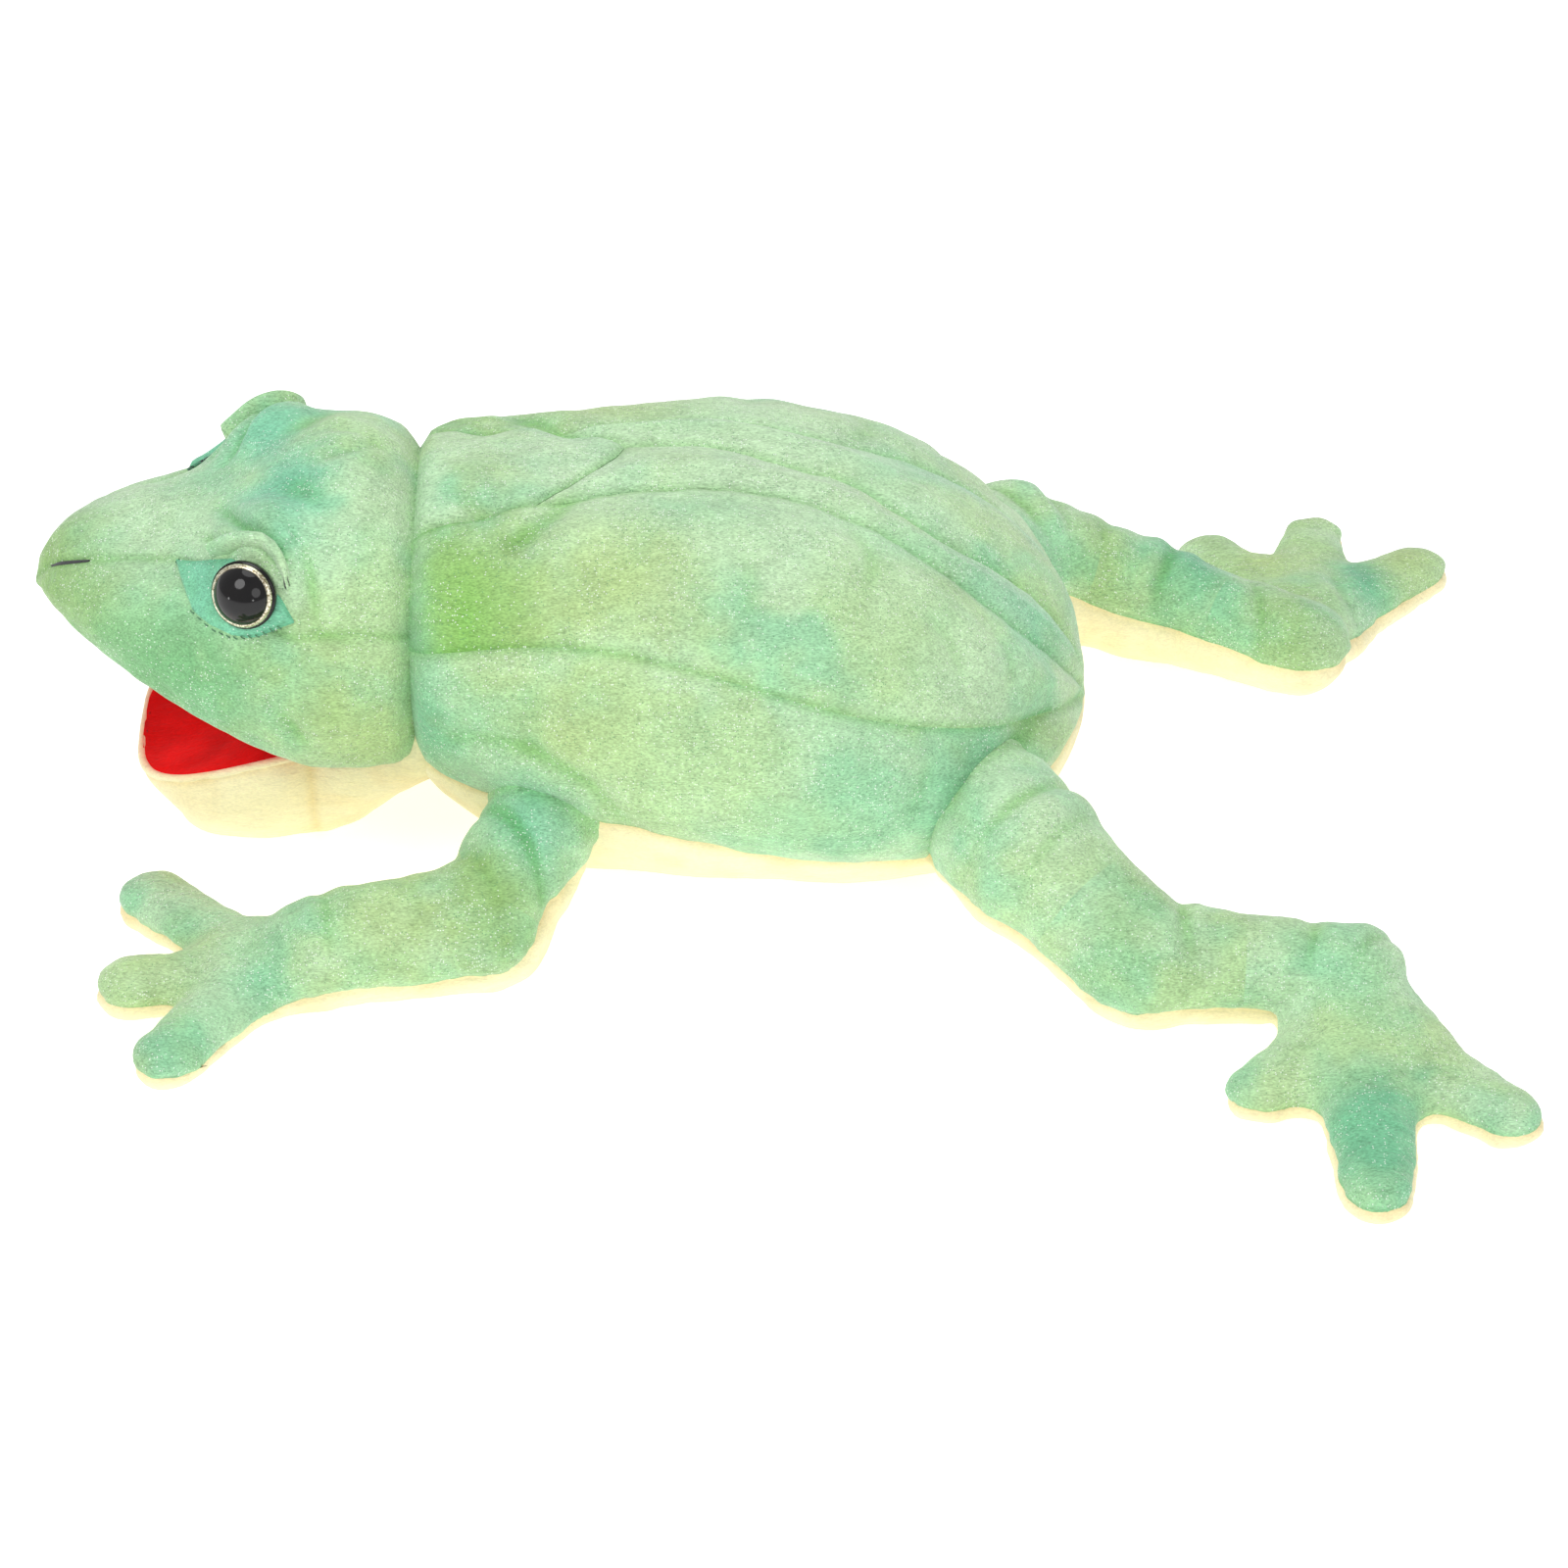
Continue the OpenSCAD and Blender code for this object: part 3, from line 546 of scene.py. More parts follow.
def make_object(name, points, faces, material, slot, normals=None, shade=None):
    """A mesh object from points in millimetres, with its dye and its place at rest. shade is
    how much painted shade darkens the dye at each point, from 0."""
    mesh = bpy.data.meshes.new(name)
    mesh.from_pydata([tuple(p) for p in points * MM], [],
                     [tuple(int(i) for i in face) for face in faces])
    mesh.polygons.foreach_set("use_smooth", [True] * len(mesh.polygons))
    rest = mesh.attributes.new("rest", "FLOAT_VECTOR", "POINT")
    rest.data.foreach_set("vector", (points * MM).astype(np.float32).ravel())
    dye = DYES.get(slot, plain_dye)(points, name)
    # Painted shade: the dye is darkened where shade is high, in creases, along seams and at joins
    if shade is not None:
        dye = dye * mix(np.ones(3), PAINTED_SHADE_TINT.get(slot, np.ones(3)), shade[:, None])
    colours = np.concatenate([np.clip(dye, 0, 1), np.ones((len(points), 1))], 1)
    layer = mesh.attributes.new("dye", "FLOAT_COLOR", "POINT")
    layer.data.foreach_set("color", colours.astype(np.float32).ravel())
    mesh.materials.append(MATERIALS[material])
    mesh.update()
    if normals is not None:
        mesh.normals_split_custom_set_from_vertices([tuple(n) for n in normals])
    piece = bpy.data.objects.new(name, mesh)
    bpy.context.scene.collection.objects.link(piece)
    return piece


def vertex_normals(points, faces):
    faces = np.asarray(faces)
    across = points[faces[:, 2]] - points[faces[:, 0]]
    other = points[faces[:, -1]] - points[faces[:, 1]]
    face_normals = np.cross(across, other)
    total = np.zeros_like(points)
    for k in range(faces.shape[1]):
        np.add.at(total, faces[:, k], face_normals)
    return unit(total)


def thick(points, faces, normals, thickness):
    """A closed sheet from an open one: its outside, its inside and its rim."""
    faces = np.asarray(faces)
    count = len(points)
    inside = points - normals * thickness
    size = faces.shape[1]
    edges = np.concatenate([faces[:, [k, (k + 1) % size]] for k in range(size)])
    keys = np.sort(edges, 1)
    _, first, repeats = np.unique(keys, axis=0, return_index=True, return_counts=True)
    rim = edges[first[repeats == 1]]
    walls = np.column_stack([rim[:, 1], rim[:, 0], rim[:, 0] + count, rim[:, 1] + count])
    if size == 3:
        walls = np.concatenate([walls[:, [0, 1, 2]], walls[:, [0, 2, 3]]])
    all_faces = np.concatenate([faces, faces[:, ::-1] + count, walls])
    return np.concatenate([points, inside]), all_faces, np.concatenate([normals, -normals])


def cloth(name, points, normals, faces, shade, thickness, slot):
    """A fabric object from its outside, with its inside and its rim."""
    solid, solid_faces, solid_normals = thick(points, faces, normals, thickness)
    return make_object(name, solid, solid_faces, slot, slot, solid_normals,
                       np.concatenate([shade, shade]))


def grid_faces(rows, cols):
    i, j = np.meshgrid(np.arange(rows), np.arange(cols), indexing="ij")
    c = (i * (cols + 1) + j).ravel()
    return np.column_stack([c, c + 1, c + cols + 2, c + cols + 1])


def grid_normals(points, centre):
    """Normals of a grid of points, all pointing away from the centre."""
    normals = np.cross(np.gradient(points, axis=1), np.gradient(points, axis=0))
    for i in range(1, len(points)):
        flat = np.linalg.norm(normals[i], axis=-1) < 1e-7
        normals[i][flat] = normals[i - 1][flat]
    normals = unit(normals)
    outward = np.sum(normals * (points - centre), -1, keepdims=True)
    side = np.sign(np.sum(outward))
    normals = normals * side
    normals[-3:] *= np.where(outward[-3:] * side < 0, -1, 1)
    return normals, side


FOLD_LIMIT = 2.6  # how deep folds get where several meet


def border_distance(points):
    """Distance over the sheet to each of its four borders: first row, last row, first and last
    column."""
    down = np.linalg.norm(np.diff(points, axis=0), axis=-1)
    over = np.linalg.norm(np.diff(points, axis=1), axis=-1)
    rows, cols = points.shape[:2]
    top = np.concatenate([np.zeros((1, cols)), np.cumsum(down, 0)])
    first = np.concatenate([np.zeros((rows, 1)), np.cumsum(over, 1)], 1)
    return top, top[-1:] - top, first, first[:, -1:] - first


def value(rule, x):
    return rule(x) if callable(rule) else np.full_like(x, float(rule))


def panel(name, skin, low, high, start, end, shape, centre, slot, puff=1.6, groove=1.3,
          pucker=0.5, neck_roll=0.0, lip_roll=0.0, folds=(), lift=0.0, middle=None,
          thickness=FABRIC_T, keep=None, puff_reach=16, seam_w=2.0, tuck=0.0, fill=0.75,
          rise=0.0):
    """A fabric panel over a surface between two seams, drawn in at its seams, with folds.
    keep returns the points, normals and faces that stay. fill is not used. rise is how far
    from its first edge it takes to stand up."""
    rows, cols = shape
    i = np.linspace(0, 1, rows + 1)[:, None]
    j = np.linspace(0, 1, cols + 1)[None, :]
    u = mix(value(start, j), value(end, j), i)
    a = mix(value(low, u), value(high, u), j)
    if middle:
        near = mix(value(low, u), middle(u), 2 * j)
        a = np.where(j < 0.5, near, mix(middle(u), value(high, u), 2 * j - 1))
    points = skin(u, a)
    normals, _ = grid_normals(points, centre)
    front, back, first, last = border_distance(points)
    seam = np.minimum(np.minimum(first, last), back)
    seam = np.minimum(seam, front)
    height = puff * smooth(seam / puff_reach) - groove * np.exp(-(seam / seam_w) ** 2)
    gather = lumps(points, 5.5, 1.7) + 0.6 * lumps(points, 11, 8.3)
    height += pucker * gather * np.exp(-seam / 7)
    height += 1.1 * lumps(points, 34, 6.1, 2) * smooth(seam / 10)
    height += 0.22 * lumps(points, 7, 2.9)
    height -= lip_roll * np.exp(-(last / 2.5) ** 2)
    if rise:
        height *= smooth(front / rise)
    folded = np.zeros_like(height)
    for path, depth, width in folds:
        folded += crease(points, path, depth, width)
    folded = FOLD_LIMIT * np.tanh(folded / FOLD_LIMIT)
    height += folded
    if end == TIP_U:
        height *= smooth(back / 9)
    # Painted shade: darker dye in the folds and along the seams
    shade = 0.8 * smooth(-folded / 2.2) + 0.45 * np.exp(-(seam / 1.5) ** 2)
    level = unit(normals * [1, 0, 1])
    edge = np.exp(-(front / 2.9) ** 2)[..., None]
    outward = unit(mix(normals, level, edge)) if neck_roll else normals
    points = points + outward * (height + lift)[..., None] - level * neck_roll * edge
    points[..., 1] += tuck * edge[..., 0]
    points[..., 2] = np.maximum(points[..., 2], 0.15)
    normals, side = grid_normals(points, centre)
    faces = grid_faces(rows, cols)
    if side < 0:
        faces = faces[:, ::-1]
    outside = (points.reshape(-1, 3), normals.reshape(-1, 3), faces,
               np.clip(shade, 0, 1).ravel())
    if keep:
        outside = keep(*outside)
    piece = cloth(name, *outside, thickness, slot)
    return piece if fill else piece


# ---- Body ----

BODY_CENTRE = np.array([0, -10, 55])
HEAD_CENTRE = np.array([0, -145, 80])
TIP_U = 0.9985
NECK_ROLL = 4.5
HEAD_ROLL, HEAD_TUCK = 6.5, 3.0


def yoke_end(share):
    """The yoke reaches furthest back on the middle of the back."""
    return mix(0.178, 0.100, abs(share) ** 1.6)


def on_both_sides(at, folds):
    """Folds on a surface and their mirror images, from (station, angle) points."""
    return [([at(y, a * sign) for y, a in path], depth, width)
            for sign in SIDES.values() for path, depth, width in folds]


BODY_FOLDS = [
    ([(-50, 12), (-61, 24), (-72, 34)], 2.2, 4.0),
    ([(-88, 10), (-76, 22), (-60, 30)], 1.0, 4.0),
    ([(26, 16), (34, 25), (30, 36)], 1.2, 4.0),
    ([(-4, 26), (0, 36), (-4, 48)], 0.8, 4.0),
    ([(48, 36), (56, 44), (58, 56)], 0.9, 3.5),
    ([(38, 44), (46, 54), (45, 62)], 0.7, 3.5),
    ([(66, 34), (72, 44), (70, 58)], 0.8, 3.5),
    ([(-80, 62), (-82, 52), (-80, 40)], 0.8, 4.0),
    ([(-92, 102), (-84, 92), (-70, 84), (-52, 86), (-40, 96), (-34, 108)], 1.7, 3.4),
    ([(84, 66), (72, 76), (60, 90), (52, 108)], 2.6, 4.5),
    ([(50, 72), (46, 84), (44, 100)], 0.9, 4.0),
    ([(-64, 66), (-60, 78), (-66, 88)], 0.8, 4.0),
]


def used_only(points, normals, faces, shade):
    """Drops the points that no face uses."""
    used = np.unique(faces)
    index = np.full(len(points), -1)
    index[used] = np.arange(len(used))
    return points[used], normals[used], index[faces], shade[used]


ENTRY_Y, ENTRY_W, ENTRY_L = 34, 70, 56
HEM_T = 3


def entry_distance(points, grow):
    """Distance outside the oval entry, widened by grow."""
    straight = (ENTRY_W - ENTRY_L) / 2
    past = np.hypot(above(abs(points[..., 0]) - straight), points[..., 1] - ENTRY_Y)
    return past - ENTRY_L / 2 - grow


def cut_entry(points, normals, faces, shade):
    """Opens the belly over the hand entry, with a clean edge under the hem."""
    gap = entry_distance(points, HEM_T - 0.8)
    low = points[:, 2] < 12
    inside = (gap[faces] < -0.7).any(1) & low[faces].all(1)
    faces = faces[~inside]
    middle = np.array([0, ENTRY_Y, 0])
    outward = unit((points - middle) * [1, 1, 0])
    near = low & (abs(gap) < 1.4)
    points[near] -= outward[near] * gap[near, None]
    return used_only(points, normals, faces, shade)


def build_body():
    common = dict(skin=body_skin, centre=BODY_CENTRE, folds=on_both_sides(body_at, BODY_FOLDS))
    yoke = panel("neck_yoke_skin", low=lambda u: strip_edge(body_y(u), -1),
                 high=lambda u: strip_edge(body_y(u), 1),
                 middle=lambda u: centre_seam(body_y(u)), start=0.0,
                 end=lambda j: yoke_end(2 * j - 1), shape=(46, 64), slot="green_pile",
                 puff=1.2, groove=1.6, neck_roll=NECK_ROLL, **common)
    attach(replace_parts(yoke, "neck_yoke"), "body")
    for side, sign in SIDES.items():
        def edge(u, s=sign):
            return strip_edge(body_y(u), s)

        def flank_edge(u, s=sign):
            return s * flank_seam(body_y(u))

        strip = panel(side + "_back_strip_skin", low=lambda u: centre_seam(body_y(u)), high=edge,
                      start=yoke_end, end=TIP_U, shape=(130, 26), slot="green_pile", puff=2.6,
                      groove=1.8, **common)
        hump = panel(side + "_hump_panel_skin", low=edge, high=flank_edge, start=0.0, end=TIP_U,
                     shape=(180, 60), slot="green_pile", puff=2.4, neck_roll=NECK_ROLL, **common)
        flank = panel(side + "_flank_panel_skin", low=flank_edge,
                      high=lambda u, s=sign: s * belly_seam(body_y(u)), start=0.0, end=TIP_U,
                      shape=(180, 60), slot="green_pile", puff=1.8, neck_roll=NECK_ROLL, **common)
        for piece, node in ((strip, "back_strip"), (hump, "hump_panel"), (flank, "flank_panel")):
            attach(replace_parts(piece, side + "_" + node), "body")
    belly = panel("belly_panel_skin", low=lambda u: belly_seam(body_y(u)),
                  high=lambda u: 360 - belly_seam(body_y(u)), start=0.0, end=TIP_U,
                  shape=(170, 130), slot="cream_pile", puff=1.2, neck_roll=NECK_ROLL,
                  keep=cut_entry, **common)
    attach(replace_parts(belly, "belly_panel"), "body")


# ---- Head ----

EYE_Y, EYE_A = -142.9, 50
EYE_LIFT, WASHER_DEPTH = 2.4, 7.4
STITCH_R = 0.22
PATCH_STITCHES = 13


HEAD_FOLDS = [
    ([(-152, 13), (-147, 24), (-142, 32), (-136, 37), (-131, 45)], 2.4, 1.9),
    ([(-157, 24), (-152, 31), (-147, 35)], 1.7, 1.7),
    ([(-136, 40), (-132, 39), (-129, 38), (-130, 34), (-134, 32)], 0.9, 0.8),
    ([(-129, 35), (-125.5, 43), (-124, 52), (-123, 65)], 1.3, 2.2),
    ([(-124.5, 64), (-118, 67), (-108, 71)], 0.9, 1.6),
    ([(-145, 20), (-138, 27), (-132, 31)], -1.6, 5.0),
    ([(-134, 44), (-130, 50), (-128, 57)], -1.4, 2.2),
    ([(-124, -9), (-114, -5), (-105, 2)], 1.0, 2.5),
    ([(-135, 90), (-130, 96), (-126, 102)], 1.4, 2.6),
    ([(-131, 12), (-127, 20), (-121, 26)], 1.2, 5.0),
    ([(-172, 20), (-166, 16), (-168, 6)], 0.6, 2.5),
    ([(-120, 80), (-118, 90), (-121, 100)], 0.6, 3.0),
]


def bend_neck(piece, node):
    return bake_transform(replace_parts(piece, node))


def build_head():
    common = dict(skin=head_skin, centre=HEAD_CENTRE, start=0.0, end=TIP_U, slot="green_pile",
                  neck_roll=HEAD_ROLL, tuck=HEAD_TUCK, folds=on_both_sides(head_at, HEAD_FOLDS))
    crown = panel("crown_panel_skin", low=lambda u: -cheek_seam(head_y(u)),
                  high=lambda u: cheek_seam(head_y(u)), shape=(150, 130), puff=1.0, groove=0.9,
                  **common)
    bend_neck(crown, "crown_panel")
    cheeks = {}
    for side, sign in SIDES.items():
        cheek = panel(side + "_cheek_panel_skin",
                      low=lambda u, s=sign: s * cheek_seam(head_y(u)), high=sign * LIP_ANGLE,
                      shape=(150, 70), puff=1.2, groove=0.9, lip_roll=1.5, **common)
        cheeks[side] = bend_neck(cheek, side + "_cheek_panel")
    return crown, cheeks


PATCH_Y = [-164, -162, -158.5, -153, -147, -140, -133, -129.5]
PATCH_TOP = [33.5, 34.2, 35.5, 37, 39, 44, 53, 60.5]
PATCH_LOW = [34, 43, 56, 62, 65, 64.5, 62, 61]
LID_Y = [-154, -147, -143, -138, -135, -133, -131, -128]
LID_REAR = [31.0, 30.5, 31.5, 33.0, 35.5, 38.5, 43, 50]
LID_FRONT = [38.0, 38.2, 38.6, 40.4, 44.0, 48.5, 54, 62]


def along_head(stations, angles, sign):
    return lambda u: sign * np.interp(head_y(u), stations, angles)


def build_eye_patch(side, sign):
    """The almond of turquoise pile under the eye."""
    patch = panel(side + "_eye_patch", head_skin, low=along_head(PATCH_Y, PATCH_TOP, sign),
                  high=along_head(PATCH_Y, PATCH_LOW, sign), start=head_u(PATCH_Y[-1]),
                  end=head_u(PATCH_Y[0]), shape=(50, 44), centre=HEAD_CENTRE,
                  slot="turquoise_pile", puff=0.7, groove=0.8, pucker=0.2, lift=1.5,
                  thickness=1.2, puff_reach=6, seam_w=1.2, fill=0)
    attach(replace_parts(patch, "eye_patches"), "head")
    lid = panel(side + "_eyelid", head_skin, low=along_head(LID_Y, LID_REAR, sign),
                high=along_head(LID_Y, LID_FRONT, sign), start=head_u(LID_Y[-1]),
                end=head_u(LID_Y[0]), shape=(64, 20), centre=HEAD_CENTRE, slot="green_pile",
                puff=7.0, groove=1.5, pucker=0.2, lift=-1.9, thickness=1.2, puff_reach=3.4,
                seam_w=1.0, rise=11)
    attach(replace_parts(lid, "brow_folds"), "head")
    for k in range(PATCH_STITCHES):
        y = mix(-158.5, -133.5, k / (PATCH_STITCHES - 1))
        a = np.interp(y, PATCH_Y, PATCH_LOW) - 0.3
        ends = []
        for step in (-0.55, 0.55):
            place, out, _, _ = surface_frame(head_at, y + step, (a + 0.8 * step) * sign)
            ends.append(place + out * 1.25)
        path = [ends[0], mix(*ends, 0.5) + out * 0.3, ends[1]]
        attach(green_stitch(f"{side}_patch_stitch_{k}", path, 7), "head")


def surface_frame(at, y, a):
    """A place on a surface, its outward direction and two directions along it."""
    place = at(y, a)
    along = unit(at(y + 0.5, a) - at(y - 0.5, a))
    out = unit(np.cross(along, at(y, a + 0.5) - at(y, a - 0.5)))
    if out @ (place - HEAD_CENTRE) < 0:
        out = -out
    return place, out, along, np.cross(out, along)


def full_turn(steps):
    return np.linspace(0, 2 * np.pi, steps, endpoint=False)


def ring_faces(rings, steps):
    """Faces between rings of points, with a cap on each end."""
    faces = []
    for i in range(rings - 1):
        for k in range(steps):
            n = (k + 1) % steps
            faces.append((i * steps + k, i * steps + n, (i + 1) * steps + n, (i + 1) * steps + k))
    caps = [tuple(range(steps))[::-1], tuple((rings - 1) * steps + k for k in range(steps))]
    return faces + caps


def lathe(name, profile, origin, axes, slot, steps=72):
    """A closed turned shape from (radius, height) points, turned about the third axis."""
    profile = np.array(profile, float)
    turn = full_turn(steps)
    ring = np.stack([np.cos(turn), np.sin(turn)], -1) @ np.array(axes[:2])
    points = (origin + profile[:, None, 1:] * np.array(axes[2])
              + profile[:, None, :1] * ring[None]).reshape(-1, 3)
    return make_object(name, points, ring_faces(len(profile), steps), slot, slot)


def dome(radius, height, base, steps=14):
    """Profile of a cap of a sphere, from its edge to its top."""
    sphere = (radius ** 2 + height ** 2) / (2 * height)
    angles = np.linspace(np.arcsin(min(1, radius / sphere)), 0.02, steps)
    return [(sphere * np.sin(t), base + height - sphere * (1 - np.cos(t))) for t in angles]


def build_eye(side, sign):
    place, out, along, across = surface_frame(head_at, EYE_Y, EYE_A * sign)
    axes = (along, np.cross(out, along), out)
    seat = place + out * EYE_LIFT
    ring_r, eye_r = RING_D / 2, EYE_D / 2
    ring = lathe(side + "_eye_ring",
                 [(5.0, 0.3), (ring_r - 0.6, 0.3), (ring_r, 0.8), (ring_r, 1.3),
                  (ring_r - 0.5, 1.9), (ring_r - 0.9, 2.1), (eye_r + 0.5, 2.15), (5.0, 2.15)],
                 seat, axes, "eye_glitter")
    eye = lathe(side + "_eye", [(2.4, -9.5), (2.4, 0.4), (6.2, 0.6), (eye_r - 0.9, 1.8)]
                + dome(eye_r + 0.9, 5.0, 1.9), seat, axes, "eye_black", 96)
    # A thin black rim round the ring: a real black edge, which also stands in as painted shadow
    # between the ring and the pile
    rim = lathe(side + "_eye_rim",
                [(ring_r - 0.4, -1.2), (ring_r + 0.55, -1.2), (ring_r + 0.65, 0.2),
                 (ring_r + 0.3, 0.75), (ring_r - 0.4, 0.7)], seat, axes, "eye_black")
    washer = lathe(side + "_eye_washer",
                   [(2.5, 0), (6.2, 0), (6.5, 0.3), (6.5, 1.2), (6.0, 1.6), (3.6, 1.6),
                    (3.0, 2.2), (2.5, 2.2)], place - out * WASHER_DEPTH, axes, "washer_plastic", 48)
    for piece, node in ((ring, "eye_rings"), (eye, "eyes"), (washer, "eye_washers")):
        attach(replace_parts(piece, node), "head")
    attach(rim, "head")


def tube(name, path, radii, slot, steps=12, squash=1.0, up=(0, 0, 1), material=None):
    """A closed tube with round ends along a path, squashed along up by its share."""
    path = np.array(path, float)
    radii = np.broadcast_to(np.array(radii, float), len(path))
    ahead = unit(np.gradient(path, axis=0))
    up = np.broadcast_to(np.array(up, float), path.shape)
    side = unit(np.cross(ahead, up))
    over = np.cross(side, ahead)
    turn = full_turn(steps)
    rings = (path[:, None] + radii[:, None, None] * (np.cos(turn)[None, :, None] * side[:, None]
             + squash * np.sin(turn)[None, :, None] * over[:, None]))
    faces = ring_faces(len(path), steps)
    return make_object(name, rings.reshape(-1, 3), faces, material or slot, slot)


def smooth_path(points, count):
    """A Catmull-Rom curve through the points."""
    p = np.array(points, float)
    p = np.concatenate([[2 * p[0] - p[1]], p, [2 * p[-1] - p[-2]]])
    made = []
    for t in np.linspace(0, len(points) - 1 - 1e-9, count):
        k, f = int(t), t - int(t)
        a, b, c, d = p[k:k + 4]
        made.append(0.5 * (2 * b + (c - a) * f + (2 * a - 5 * b + 4 * c - d) * f * f
                           + (3 * b - a - 3 * c + d) * f ** 3))
    return np.array(made)


def green_stitch(name, path, count):
    return tube(name, smooth_path(path, count), STITCH_R, "", 6, material="green_thread")


def over_skin(piece, path, side, lift):
    """The path's points, lifted clear of the piece's outside."""
    placed, outward = [], []
    for y, a in path:
        place, out, _, _ = surface_frame(head_at, y, a * side)
        _, hit, _, _ = piece.closest_point_on_mesh(Vector((place + out * 9) * MM))
        placed.append(np.array(hit) / MM + out * lift)
        outward.append(out)
    return placed, outward


NOSTRIL = [(-202.5, 66), (-199, 57), (-195.5, 49), (-191.5, 43)]
NOSTRIL_R = 0.55


def build_nostril(side, sign, crown):
    placed, outward = over_skin(crown, NOSTRIL, sign, 0.1)
    radii = NOSTRIL_R * np.sin(np.pi * np.linspace(0.08, 0.92, 30)) ** 0.4
    nostril = tube(side + "_nostril_stitch", smooth_path(placed, 30), radii, "black_thread", 10,
                   0.8, smooth_path(outward, 30))
    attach(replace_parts(nostril, "nostril_stitches"), "head")


def build_body_and_head():
    build_body()
    crown, cheeks = build_head()
    for side, sign in SIDES.items():
        build_eye_patch(side, sign)
        build_eye(side, sign)
        build_nostril(side, sign, crown)


build_body_and_head()

# ---- Mouth and throat ----

CHIN_L, CHIN_HALF_W, LOWER_LIP_Z, CHIN_FLOOR = 52, 38, 28, 1
CHIN_BACK_Y, CHIN_BACK_Z = JAW_Y - 1.2, JAW_Z - 2
CHIN_SAG = 4
CHIN_EASE = 1.6
THROAT_CENTRE = np.array([0, -110, 45])
CHIN_CENTRE = np.array([0, -150, 30])


def chin_lip(u):
    """Half width, station and height of the lower lip."""
    y = CHIN_BACK_Y - CHIN_L * (1 - above(1 - u) ** CHIN_EASE)
    half = CHIN_HALF_W * above(1 - u ** 3.4) ** 0.5
    return half, y, mix(CHIN_BACK_Z, LOWER_LIP_Z, u) - 2.5 * np.sin(np.pi * np.minimum(u, 1))


def chin_skin(u, a):
    half, y, lip = chin_lip(u)
    depth = (lip - CHIN_FLOOR + CHIN_SAG) * above(1 - u ** 3) ** 0.5
    down = above(-cos_d(a))
    rise = np.maximum(CHIN_FLOOR, lip + depth * cos_d(a))
    lean = 13 * u ** 2 * smooth(1.7 * down)
    return np.stack(np.broadcast_arrays(half * sin_d(a), y + lean, rise), -1)


def throat_skin(u, a):
    """The soft throat from the chin back to the belly."""
    y = mix(CHIN_BACK_Y, -88, u)
    half = mix(CHIN_HALF_W, 49, smooth(u))
    rise = 10 * smooth(2 * u)
    top = mix(CHIN_BACK_Z, 48, u) + rise
    depth = mix(CHIN_BACK_Z - CHIN_FLOOR + CHIN_SAG, 23, smooth(u)) + rise
    level = np.maximum(CHIN_FLOOR, top + depth * cos_d(a))
    return np.stack(np.broadcast_arrays(half * sin_d(a), y, level), -1)


def build_mouth():
    puckers = [([(50, y, 47), (49, y - 1, 38), (46, y, 30)], 1.3, 2.0) for y in (-104, -112, -119)]
    puckers += [([(-x, y, z) for x, y, z in path], depth, width) for path, depth, width in puckers]
    throat = panel("throat_panel_skin", throat_skin, 90, 270, 0.0, 1.0, (40, 110), THROAT_CENTRE,
                   "cream_pile", puff=1.4, groove=0.3, pucker=0.5, folds=puckers,
                   neck_roll=0.01)
    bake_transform(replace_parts(throat, "throat_panel"))
    chin = panel("chin_panel_skin", chin_skin, 90, 270, 0.0, TIP_U, (80, 110), CHIN_CENTRE,
                 "cream_pile", puff=1.4, groove=0.3, pucker=0.5, neck_roll=0.01, thickness=1.0)
    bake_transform(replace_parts(chin, "chin_panel"))
    rim = []
    for t in np.linspace(-1, 1, 121):
        half, y, lip = chin_lip(1 - abs(t) ** 0.75)
        rim.append((np.sign(t) * max(half - 1.2, 0), y + 0.6, lip + 0.3))
    piping = tube("lower_lip_roll", rim, 1.25, "cream_pile", 14)
    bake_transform(piping)

    def tongue_skin(u, t):
        half, y, lip = chin_lip(u)
        dip = 1.3 * smooth(4 * u - 3) - 1.6 * (1 - t ** 2) * np.sin(np.pi * u)
        return np.stack(np.broadcast_arrays(t * above(half - 1.2), y + 0.8, lip + 0.5 + dip), -1)

    tongue = panel("jaw_lining_skin", tongue_skin, -1, 1, 0.0, 0.992, (80, 70),
                   CHIN_CENTRE - [0, 0, 60], "red_lining", puff=0.4, groove=0.3, pucker=0.3,
                   thickness=1.2, fill=0)
    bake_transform(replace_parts(tongue, "jaw_lining"))

    def palate_skin(u, t):
        y = head_y(u)
        half = above(head_half_w(y) * sin_d(LIP_ANGLE) - 2.2)
        rise = lip_z(y) + 1.2 + 1.5 * (1 - t ** 2)
        return np.stack(np.broadcast_arrays(t * half, y, rise), -1)

    palate = panel("palate_lining_skin", palate_skin, -1, 1, head_u(-126), 0.86, (70, 60),
                   HEAD_CENTRE + [0, 0, 60], "red_lining", puff=0.4, groove=0.2, pucker=0.3,
                   thickness=1.2, fill=0)
    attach(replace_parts(palate, "palate_lining"), "head")


build_mouth()

# ---- Round shapes from a field of distances ----

